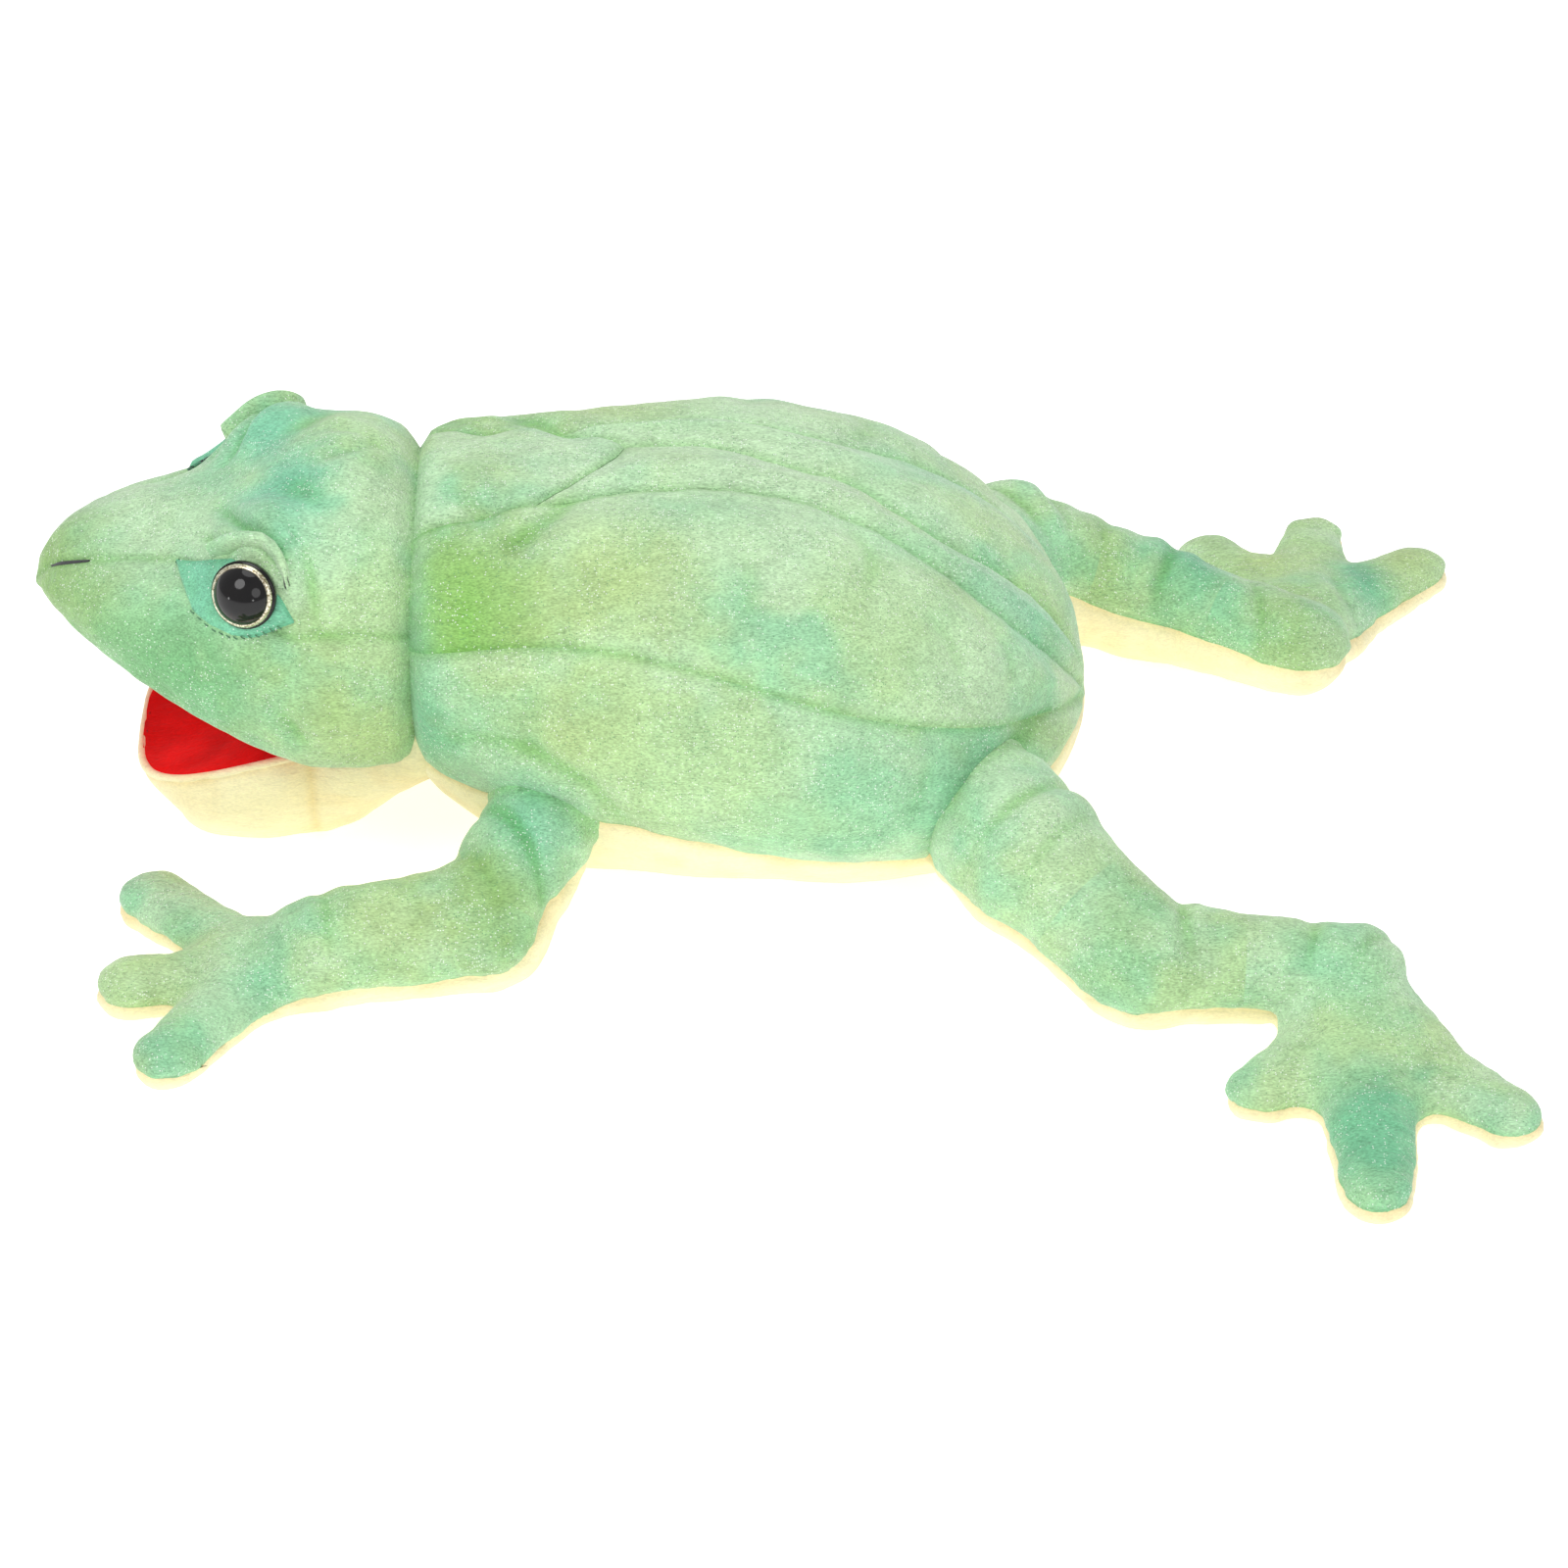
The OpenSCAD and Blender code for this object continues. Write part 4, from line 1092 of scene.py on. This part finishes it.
def surface_net(field, low, high, step):
    """A quad mesh of the surface where field(points) is zero, with a point in each cell it
    crosses, moved onto the surface."""
    axes = [np.arange(a, b + step, step) for a, b in zip(low, high)]
    points = np.stack(np.meshgrid(*axes, indexing="ij"), -1)
    height = field(points)
    inside = height < 0
    size = np.array(height.shape) - 1

    def corner(grid, offset):
        return grid[tuple(slice(o, o + n) for o, n in zip(offset, size))]

    corners = [(i, j, k) for i in (0, 1) for j in (0, 1) for k in (0, 1)]
    total, count = np.zeros((*size, 3)), np.zeros(size)
    for a in corners:
        for axis in range(3):
            if a[axis]:
                continue
            b = tuple(1 if k == axis else a[k] for k in range(3))
            fa, fb = corner(height, a), corner(height, b)
            crossed = corner(inside, a) != corner(inside, b)
            t = np.where(crossed, fa / np.where(crossed, fa - fb, 1), 0)
            place = mix(corner(points, a), corner(points, b), t[..., None])
            total += np.where(crossed[..., None], place, 0)
            count += crossed
    active = count > 0
    verts = total[active] / count[active][:, None]
    index = np.full(active.shape, -1)
    index[active] = np.arange(len(verts))
    quads = []
    for axis in range(3):
        b, c = (axis + 1) % 3, (axis + 2) % 3
        lower = np.take(inside, range(size[axis]), axis)
        upper = np.take(inside, range(1, size[axis] + 1), axis)
        for goes_in, flip in ((lower & ~upper, False), (~lower & upper, True)):
            cells = np.argwhere(goes_in)
            cells = cells[(cells[:, b] > 0) & (cells[:, c] > 0)
                          & (cells[:, b] < size[b]) & (cells[:, c] < size[c])]
            corners4 = []
            for db, dc in ((-1, -1), (0, -1), (0, 0), (-1, 0)):
                moved = cells.copy()
                moved[:, b] += db
                moved[:, c] += dc
                corners4.append(index[tuple(moved.T)])
            quad = np.stack(corners4, 1)
            quads.append(quad[:, ::-1] if flip else quad)
    for _ in range(3):
        slope = field_slope(field, verts)
        steep = np.maximum(np.sum(slope ** 2, -1), 0.05)
        verts = verts - np.clip(field(verts) / steep, -step, step)[:, None] * slope
    return verts, np.concatenate(quads)


def field_slope(field, points, reach=0.4):
    columns = []
    for axis in np.eye(3) * reach:
        columns.append((field(points + axis) - field(points - axis)) / (2 * reach))
    return np.stack(columns, -1)


def taper(p, start, end, r0, r1, flat=1.0):
    """Distance to a round bar from start to end; flat is its height as a share of its width."""
    scale = np.array([1, 1, 1 / flat])
    start, end = np.array(start, float), np.array(end, float)
    run = (end - start) * scale
    away = (p - start) * scale
    t = np.clip(away @ run / (run @ run), 0, 1)
    return (np.linalg.norm(away - t[..., None] * run, axis=-1) - mix(r0, r1, t)) * flat ** 0.5


# ---- Limbs ----

SHOULDER, ELBOW, WRIST = [80, -62, 34], [88, -76, 18], [96, -121, 16]
SHOULDER_ROOT = [60, -58, 40]
PALM = [97, -138, 9.5]
FINGERS = [[62, -173], [104, -176], [137, -163]]
HIP_ROOT, HIP = [56, 62, 40], [80, 77, 36]
KNEES = [[107, 108, 19], [80, 121, 19]]
ANKLES = [[112, 167, 18], [56, 165, 18]]
HEELS = [[132, 169, 9.5], [81, 168, 9.5]]
TOES = [[[154, 140], [198, 168], [165, 206]], [[121, 142], [131, 175], [113, 206]]]
PAW_Z = 9.5
BACK_TOE = 36  # how far behind the middle of the shin a toe may point
FLOOR_GAP = 0.8
LIMB_STEP = 1.5
LIMB_FABRIC_T = 1.6


def on_floor(distance, p):
    return soft_max(distance, FLOOR_GAP - p[..., 2], 4)


def arm_field(p):
    upper = taper(p, SHOULDER_ROOT, ELBOW, 18, 16)
    fore = taper(p, np.array(ELBOW) + [0, -2, 0], WRIST, 18.0, 16.0)
    shape = soft_min(upper, fore, 5)
    shape = soft_min(shape, taper(p, WRIST, PALM, 15.5, 17.5, 0.62), 7)
    for x, y in FINGERS:
        tip = np.array([x, y, PAW_Z - 1])
        base = mix(np.array(PALM), tip, 0.25)
        finger = taper(p, base, tip, 11.0, 10.6, 0.66)
        shape = soft_min(shape, finger, 6)
    return on_floor(shape, p)


def leg_field(k):
    def field(p):
        shape = soft_min(taper(p, HIP_ROOT, HIP, 23, 20.5), taper(p, HIP, KNEES[k], 20, 17.5), 6)
        shape = soft_min(shape, taper(p, KNEES[k], ANKLES[k], 17, 13.5), 5)
        shape = soft_min(shape, taper(p, ANKLES[k], HEELS[k], 13.5, 15, 0.7), 8)
        for x, y in TOES[k]:
            tip = np.array([x, y, PAW_Z - 1.5])
            toe = taper(p, HEELS[k], tip, 17, 10.8, 0.6)
            shape = soft_min(shape, toe, 9 if k == 0 else 6)
        return on_floor(shape, p)
    return field


def limb_seam(p, spine, lean):
    """Height above the side seam of a limb, which runs along its spine. lean drops the seam on
    the outer side."""
    spine = np.array(spine, float)
    weights, heights = [], []
    for start, end, drop in zip(spine[:-1], spine[1:], lean[:-1]):
        run = (end - start)[:2]
        t = np.clip((p[..., :2] - start[:2]) @ run / (run @ run), -0.3, 1.3)
        middle = start + np.clip(t, 0, 1)[..., None] * (end - start)
        outward = np.array([run[1], -run[0]]) / np.linalg.norm(run)
        if outward[0] < 0:
            outward = -outward
        aside = (p[..., :2] - middle[..., :2]) @ outward
        gap = np.linalg.norm(p[..., :2] - middle[..., :2], axis=-1)
        weights.append(np.exp(-gap / 4))
        heights.append(middle[..., 2] - drop[0] - drop[1] * aside)
    weights, heights = np.array(weights), np.array(heights)
    return p[..., 2] - np.sum(weights * heights, 0) / np.maximum(np.sum(weights, 0), 1e-12)


def triangles(faces):
    if faces.shape[1] == 3:
        return faces
    return np.concatenate([faces[:, [0, 1, 2]], faces[:, [0, 2, 3]]])


def split_mesh(points, faces, height, rising):
    """Cuts a mesh of triangles along height = 0. rising is the direction height grows in, along
    which points that are nearly there move onto the cut."""
    faces = triangles(faces)
    near = abs(height) < 0.42
    points = points - np.where(near, height, 0)[:, None] * rising
    height = np.where(near, 0, height)
    side = np.sign(height)
    edges = np.unique(np.sort(np.concatenate([faces[:, [0, 1]], faces[:, [1, 2]],
                                              faces[:, [2, 0]]]), 1), axis=0)
    edges = edges[side[edges[:, 0]] * side[edges[:, 1]] < 0]
    share = height[edges[:, 0]] / (height[edges[:, 0]] - height[edges[:, 1]])
    added = mix(points[edges[:, 0]], points[edges[:, 1]], share[:, None])
    key = edges[:, 0] * len(points) + edges[:, 1]

    def cut_point(a, b):
        wanted = np.minimum(a, b) * len(points) + np.maximum(a, b)
        return len(points) + np.searchsorted(key, wanted)

    crossing = side[faces] * side[np.roll(faces, -1, 1)] < 0
    count = crossing.sum(1)
    made = [faces[count == 0]]
    for turn in range(3):
        a, b, c = np.roll(faces, -turn, 1).T
        crossed = np.roll(crossing, -turn, 1)
        once = (count == 1) & crossed[:, 0]
        p, q, r = a[once], b[once], c[once]
        middle = cut_point(p, q)
        made += [np.stack([p, middle, r], 1), np.stack([middle, q, r], 1)]
        twice = (count == 2) & crossed[:, 0] & crossed[:, 2]
        p, q, r = a[twice], b[twice], c[twice]
        first, last = cut_point(p, q), cut_point(r, p)
        made += [np.stack([p, first, last], 1), np.stack([first, q, r], 1),
                 np.stack([first, r, last], 1)]
    return np.concatenate([points, added]), np.concatenate(made)


def plane_height(points, start, end, share=0.5, room=999):
    """Height past the plane across a segment, at that share of its length. What lies further
    than room beside the segment, and not far behind the plane, counts as past it, as a toe that
    points back does."""
    start, end = np.array(start, float), np.array(end, float)
    run = unit(end - start)
    away = points - mix(start, end, share)
    along = away @ run
    beside = np.linalg.norm(away - along[..., None] * run, axis=-1)
    return along + np.where(along > -BACK_TOE, 4 * above(beside - room), 0)


def limb_skin(points, faces, seam, folds):
    """Draws the seam in, and adds folds, gathers and uneven stuffing."""
    normals = vertex_normals(points, faces)
    gap = abs(seam)
    height = -1.5 * np.exp(-(gap / 2.0) ** 2) + 0.5 * smooth(gap / 10)
    gather = lumps(points, 4.5, 1.7) + 0.6 * lumps(points, 9, 8.3)
    height += 0.75 * gather * np.exp(-gap / 6)
    height += 1.0 * lumps(points, 18, 6.1, 2)
    height += 0.25 * lumps(points, 5, 2.9)
    folded = np.zeros(len(points))
    for path, depth, width in folds:
        folded += crease(points * [1, 1, 0], path, depth, width) * smooth(seam / 5)
    height += folded
    root = body_field(points)
    height -= 1.6 * np.exp(-((root - 1.5) / 3.0) ** 2)
    height = height * smooth((points[:, 2] - 0.2) / 2.5)
    points = points + normals * height[:, None]
    points[:, 2] = np.maximum(points[:, 2], 0.4)
    # Painted shade: darker dye in the folds, along the side seam and where the limb meets the body
    shade = 0.8 * smooth(-folded / 2.0) + 0.35 * np.exp(-(gap / 1.3) ** 2)
    shade += 0.5 * np.exp(-((root - 1.0) / 3.0) ** 2)
    return points, vertex_normals(points, faces), np.clip(shade, 0, 1)


def bend_limb(piece):
    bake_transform(piece)


def build_limb(side, sign, field, box, spine, lean, cuts, names, folds):
    """A stuffed limb as one surface, cut along its side seam and between its bodies."""
    def trimmed(p):
        return soft_max(field(p), -(body_field(p) + 4), 1.5)

    points, faces = surface_net(trimmed, box[0], box[1], LIMB_STEP)
    points, faces = split_mesh(points, faces, limb_seam(points, spine, lean), [0, 0, 1])
    for cut in cuts:
        ahead = unit(np.array(cut[1], float) - np.array(cut[0], float))
        points, faces = split_mesh(points, faces, plane_height(points, *cut), ahead)
    seam = limb_seam(points, spine, lean)
    middle = points[faces].mean(1)
    order = sum((plane_height(middle, *cut) > 0).astype(int) for cut in cuts)
    top = limb_seam(middle, spine, lean) > 0
    points, normals, shade = limb_skin(points, faces, seam, folds)
    if sign < 0:
        points, normals = points * [-1, 1, 1], normals * [-1, 1, 1]
        faces = faces[:, ::-1]
    for k, name in enumerate(names):
        for half, is_top, slot in (("top", True, "green_pile"), ("under", False, "cream_pile")):
            chosen = faces[(order == k) & (top == is_top)]
            outside = used_only(points, normals, chosen, shade)
            piece = cloth(f"{side}_{name}_{half}_skin", *outside, LIMB_FABRIC_T, slot)
            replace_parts(piece, f"{side}_{name}_{half}")
            bend_limb(piece)
        if name == "upper_arm":
            continue

        def stuffed(p):
            shape = trimmed(p) + 4.0 + 0.8 * smooth(0.5 + np.sin(p[..., 0] / 5) * 0.5)
            for step, cut in enumerate(cuts):
                past = plane_height(p, *cut)
                if step == k:
                    shape = soft_max(shape, past + 1.0, 2)
                elif step == k - 1:
                    shape = soft_max(shape, 1.0 - past, 2)
            return shape

        verts, quads = surface_net(stuffed, box[0], box[1], 2.5)
        if sign < 0:
            verts, quads = verts * [-1, 1, 1], quads[:, ::-1]
        piece = make_object(f"{side}_{name}_stuffing", verts, quads, "filling", "filling")
        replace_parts(piece, f"{side}_{name}_filling")
        bend_limb(piece)


ARM_FOLDS = [
    ([(62, -82, 0), (74, -71, 0), (88, -60, 0), (98, -60, 0)], 1.8, 2.6),
    ([(70, -88, 0), (84, -78, 0), (100, -70, 0)], 0.8, 2.5),
    ([(80, -124, 0), (95, -121, 0), (112, -119, 0)], 1.2, 2.6),
    ([(84, -130, 0), (96, -128, 0), (106, -129, 0)], 0.7, 2.2),
    ([(88, -98, 0), (98, -94, 0), (108, -96, 0)], 0.5, 3.0),
]
LEG_FOLDS = [
    [([(92, 60, 0), (84, 74, 0), (64, 92, 0)], 1.6, 3.0),
     ([(104, 72, 0), (94, 84, 0), (76, 98, 0)], 1.1, 2.8),
     ([(92, 119, 0), (106, 120, 0), (122, 122, 0)], 1.6, 2.8),
     ([(96, 126, 0), (108, 128, 0), (120, 128, 0)], 0.8, 2.4),
     ([(100, 156, 0), (112, 157, 0), (124, 153, 0)], 1.2, 2.4),
     ([(104, 182, 0), (112, 172, 0), (124, 166, 0)], 1.1, 2.4)],
    [([(92, 60, 0), (84, 74, 0), (64, 92, 0)], 1.6, 3.0),
     ([(100, 84, 0), (84, 92, 0), (62, 98, 0)], 1.2, 2.8),
     ([(62, 108, 0), (76, 104, 0), (98, 112, 0)], 0.9, 2.6),
     ([(60, 120, 0), (80, 128, 0), (98, 130, 0)], 1.6, 2.8),
     ([(44, 152, 0), (60, 154, 0), (74, 148, 0)], 1.2, 2.4),
     ([(70, 186, 0), (84, 178, 0), (104, 180, 0)], 1.0, 2.4)],
]


def build_limbs():
    for k, (side, sign) in enumerate(SIDES.items()):
        arm_spine = [SHOULDER_ROOT, SHOULDER, ELBOW, WRIST, PALM, [*FINGERS[1], PAW_Z]]
        arm_lean = [(4, 0.25), (4, 0.2), (4, 0.15), (2, 0.0), (1, 0.0), (1, 0.0)]
        build_limb(side, sign, arm_field, ((30, -192, -2), (152, -34, 62)), arm_spine, arm_lean,
                   [(SHOULDER, ELBOW, 0.5)], ["upper_arm", "forearm"],
                   ARM_FOLDS)
        knee, ankle, heel = KNEES[k], ANKLES[k], HEELS[k]
        leg_spine = [HIP_ROOT, HIP, knee, ankle, heel, [*TOES[k][1], PAW_Z]]
        leg_lean = [(3, 0.3), (3, 0.3), (2, 0.3), (1, 0.15), (0.5, 0.0), (0.5, 0.0)]
        build_limb(side, sign, leg_field(k), ((24, 28, -2), (212, 218, 68)), leg_spine, leg_lean,
                   [(HIP, knee, 0.5), (knee, ankle, 0.5, 24)], ["thigh", "shin", "foot"],
                   LEG_FOLDS[k])


build_limbs()

# ---- Inside ----

SLEEVE_HALF, TUNNEL_HALF = 35, 33
STEP_Y, TUNNEL_REAR_Y, TUNNEL_FLOOR, TUNNEL_ROOF, THROAT_FLOOR = -44, 64, 11, 80, 40
LINING_T, LINING_STEP = 1.0, 2.2
WAD_STEP = 3.0
WAD_INSET = 5.5  # from the outside of the skin to the stuffing


def rounded_box(p, low, high, r):
    """Distance outside a box with round edges."""
    low, high = np.array(low, float), np.array(high, float)
    past = abs(p - (low + high) / 2) - (high - low) / 2 + r
    outside = np.linalg.norm(above(past), axis=-1)
    return outside + np.minimum(past.max(-1), 0) - r


def lining(name, field, low, high, dropped, node, body):
    """A thin lining bag over a field, open where dropped says, puckered a little inwards."""
    points, faces = surface_net(field, np.array(low) - 4, np.array(high) + 4, LINING_STEP)
    faces = faces[~dropped(points[faces].mean(1))]
    normals = vertex_normals(points, faces)
    dent = 0.9 * abs(lumps(points, 13, 4.4, 2)) + 0.3 * abs(lumps(points, 4, 1.2))
    points = points - normals * dent[:, None]
    outside = used_only(points, vertex_normals(points, faces), faces, dent)
    piece = cloth(name, *outside, LINING_T, "lining_cotton")
    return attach(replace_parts(piece, node), body)


def sleeve_field(p):
    bag = rounded_box(p, (-SLEEVE_HALF, STEP_Y, TUNNEL_FLOOR),
                      (SLEEVE_HALF, TUNNEL_REAR_Y, TUNNEL_ROOF), 8)
    tunnel = rounded_box(p, (-TUNNEL_HALF, NECK_Y - 8, THROAT_FLOOR),
                         (TUNNEL_HALF, STEP_Y + 20, TUNNEL_ROOF), 8)
    return soft_min(bag, tunnel, 3)


def sleeve_opening(p):
    mouth = (p[:, 2] < TUNNEL_FLOOR + 2.5) & (entry_distance(p, -2.0) < 0)
    return mouth | (p[:, 1] < NECK_Y + 4)


def finger_field(p):
    wide = rounded_box(p, (-33, -150, 66), (33, -80, 83), 7)
    tip = rounded_box(p, (-23, -164, 66), (23, -120, 83), 7)
    return soft_min(wide, tip, 4)


def thumb_field(p):
    return rounded_box(p, (-17, -159, 10), (17, -110, 31), 8)


def head_field(p):
    """Rough distance outside the head."""
    y = np.clip(p[..., 1], NOSE_Y + 1, NECK_Y)
    half, top, lip = np.maximum(head_half_w(y), 3), head_top(y), lip_z(y)
    middle = mix(lip, top, MIDDLE_SHARE)
    deep = (middle - lip) / abs(cos_d(LIP_ANGLE))
    tall = np.maximum(np.where(p[..., 2] > middle, top - middle, deep), 3)
    inside = round_gap(p[..., 0], p[..., 2] - middle, half, tall)
    return np.maximum(np.maximum(inside, lip - p[..., 2]), NOSE_Y + 6 - p[..., 1])


def chin_field(p):
    """Rough distance outside the lower jaw."""
    share = np.clip((CHIN_BACK_Y - p[..., 1]) / CHIN_L, 0, 0.995)
    u = 1 - (1 - share) ** (1 / CHIN_EASE)
    half, _, lip = chin_lip(u)
    half = np.maximum(half, 2)
    depth = np.maximum((lip - CHIN_FLOOR + CHIN_SAG) * above(1 - u ** 3) ** 0.6, 2)
    inside = round_gap(p[..., 0], p[..., 2] - lip, half, depth)
    ends = np.maximum(p[..., 1] - (JAW_Y - 5), JAW_Y - 47 - p[..., 1])
    flat = np.maximum(p[..., 2] - (lip - 5), 4.5 - p[..., 2])
    return np.maximum(np.maximum(inside, ends), flat)


def stuffing(name, node, field, low, high, body):
    """A wad of filling inside a field, lumpy all over."""
    def wadded(p):
        return field(p) + 0.7 + 0.5 * np.sin(p[..., 0] / 4.3 + p[..., 2] / 6) * np.sin(
            p[..., 1] / 4.9 + p[..., 2] / 5)

    points, faces = surface_net(wadded, low, high, WAD_STEP)
    piece = make_object(name, points, faces, "filling", "filling")
    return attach(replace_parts(piece, node), body)


def within(field, low, high):
    """The room for stuffing inside a surface and inside a box."""
    return lambda p: soft_max(field(p) + WAD_INSET, rounded_box(p, low, high, 3), 3)


def build_inside():
    sleeve = lining("hand_sleeve_lining", sleeve_field, (-35, -106, 11), (35, 64, 80),
                    sleeve_opening, "hand_sleeve", "body")
    fingers = lining("finger_pocket_lining", finger_field, (-33, -164, 66), (33, -80, 83),
                     lambda p: p[:, 1] > -103, "finger_pocket", "head")
    thumb = lining("thumb_pocket_lining", thumb_field, (-17, -160, 10), (17, -110, 31),
                   lambda p: p[:, 1] > JAW_Y - 4, "thumb_pocket", "jaw")
    low, high = (-90, -93, 83), (90, 100, 125)
    stuffing("back_stuffing", "back_filling", within(body_field, low, high), low, high, "body")
    for side, sign in SIDES.items():
        near, far = sorted((37.5 * sign, 90.0 * sign))
        low, high = np.array([near, -92, 11]), np.array([far, 64, 80.5])
        stuffing(side + "_side_stuffing", "side_fillings", within(body_field, low, high),
                 low - 2, high + 2, "body")
    low, high = (-80, 67.5, 12), (80, 98, 81)
    stuffing("rump_stuffing", "rump_filling", within(body_field, low, high), low, high, "body")
    eyes = [surface_frame(head_at, EYE_Y, EYE_A * sign)[:2] for sign in (1, -1)]

    def crown_space(p):
        shape = within(head_field, (-60, -200, 86), (60, -107, 130))(p)
        for place, out in eyes:
            away = p - place
            beside = np.linalg.norm(away - (away @ out)[..., None] * out, axis=-1)
            shape = soft_max(shape, 9 - beside, 2)
        return shape

    stuffing("crown_stuffing", "crown_filling", crown_space, (-60, -204, 84), (60, -100, 130),
             "head")
    for side, sign in SIDES.items():
        low, high = (-42, -180, 2), (42, -125, 45)

        def beside(p, s=sign):
            return soft_max(chin_field(p) + 3.5, 19.5 - p[..., 0] * s, 2)

        stuffing(side + "_chin_stuffing", "chin_filling", beside, low, high, "jaw")
    build_hem()


HEM_STEPS, HEM_SIDES, HEM_STITCHES = 220, 24, 52


def build_hem():
    """The turned and stitched edge of the hand entry."""
    straight, r = (ENTRY_W - ENTRY_L) / 2, ENTRY_L / 2 + HEM_T / 2
    turn = full_turn(HEM_STEPS)
    centre = np.stack([np.where(np.cos(turn) > 0, straight, -straight) + r * np.cos(turn),
                       ENTRY_Y + r * np.sin(turn)], -1)
    outward = np.stack([np.cos(turn), np.sin(turn)], -1)
    section = full_turn(HEM_SIDES)
    wide = (HEM_T / 2 - 0.2) * np.sign(np.cos(section)) * abs(np.cos(section)) ** 0.6
    tall = 5.2 * np.sign(np.sin(section)) * abs(np.sin(section)) ** 0.5
    points = np.zeros((HEM_STEPS, HEM_SIDES, 3))
    points[..., :2] = centre[:, None] + outward[:, None] * wide[None, :, None]
    points[..., 2] = 5.7 + tall
    flat = points.reshape(-1, 3)
    ripple = 0.35 * lumps(flat, 5, 3.3) + 0.2 * lumps(flat, 2.2, 8.8)
    flat[:, :2] += np.repeat(outward, HEM_SIDES, 0) * ripple[:, None]
    faces = []
    for i in range(HEM_STEPS):
        here, after = i * HEM_SIDES, (i + 1) % HEM_STEPS * HEM_SIDES
        for k in range(HEM_SIDES):
            n = (k + 1) % HEM_SIDES
            faces.append((here + k, after + k, after + n, here + n))
    hem = make_object("entry_hem", flat, faces, "cream_pile", "cream_pile")
    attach(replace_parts(hem, "opening_hem"), "body")
    for k in range(HEM_STITCHES):
        at = int(k * HEM_STEPS / HEM_STITCHES)
        path = [[*(centre[at] - outward[at] * inward), z]
                for inward, z in ((1.45, 2.6), (1.7, 3.2), (1.45, 3.9))]
        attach(green_stitch(f"hem_stitch_{k}", path, 5), "body")


build_inside()

# ---- Camera, floor and light ----

CAMERA_DISTANCE = 1.8
CAMERA_ELEVATION = 33
LOOK_AT = np.array([0, 0, 0.062])
SHIFT = np.array([30, -160]) / 3500  # of the picture, to its right and up, in metres
FOCAL_LENGTH = 141.75
WORLD_STRENGTH = 0.51
FLOOR_REACH = 30
# Name, place, diameter in metres and watts
LIGHTS = [("key", (0.7, -0.7, 1.5), 1.0, 11), ("fill", (1.3, 0.9, 0.9), 1.0, 4.5),
          ("top", (-0.5, 0.1, 1.6), 1.2, 7), ("low_right", (1.5, 0.48, 0.23), 0.16, 0.5),
          ("low_left", (0.75, -1.35, 0.12), 0.16, 0.5)]


def look(item, place, target):
    item.location = place
    item.rotation_mode = "QUATERNION"
    item.rotation_quaternion = Vector(target - np.array(place)).to_track_quat("-Z", "Y")


def build_stage():
    camera = bpy.data.objects.new("camera", bpy.data.cameras.new("camera"))
    bpy.context.scene.collection.objects.link(camera)
    back = np.array([cos_d(CAMERA_ELEVATION), 0, sin_d(CAMERA_ELEVATION)])
    up = np.array([-back[2], 0, back[0]])
    aim = LOOK_AT + np.array([0, SHIFT[0], 0]) + up * SHIFT[1]
    look(camera, LOOK_AT + CAMERA_DISTANCE * back, aim)
    camera.data.lens = FOCAL_LENGTH
    camera.data.sensor_width = 36
    camera.data.clip_start = 0.05
    bpy.context.scene.camera = camera

    world = bpy.data.worlds.new("studio")
    world.use_nodes = True
    world.node_tree.nodes["Background"].inputs["Color"].default_value = (1, 1, 1, 1)
    world.node_tree.nodes["Background"].inputs["Strength"].default_value = WORLD_STRENGTH
    bpy.context.scene.world = world
    bpy.context.scene.view_settings.view_transform = "Standard"

    for name, position, size, watts in LIGHTS:
        data = bpy.data.lights.new(name, "AREA")
        data.shape = "DISK"
        data.size = size
        data.energy = watts
        light = bpy.data.objects.new(name, data)
        look(light, position, np.array([0, 0, 0.05]))
        bpy.context.scene.collection.objects.link(light)

    floor_mesh = bpy.data.meshes.new("floor")
    corners = np.array([(-1, -1, 0), (1, -1, 0), (1, 1, 0), (-1, 1, 0)]) * FLOOR_REACH
    floor_mesh.from_pydata(corners.tolist(), [], [(0, 1, 2, 3)])
    floor = bpy.data.objects.new("floor", floor_mesh)
    bpy.context.scene.collection.objects.link(floor)
    g = Graph("floor_paper")
    tone = g.blend(g.noise(g.add("TexCoord", {}).outputs["Object"], 3, 2),
                   (0.96, 0.96, 0.96, 1), (0.98, 0.98, 0.98, 1))
    floor_mesh.materials.append(g.finish(Base_Color=tone, Roughness=0.9, Specular_IOR_Level=0.0,
                                         Emission_Color=(1, 1, 1, 1), Emission_Strength=0.5))


build_stage()
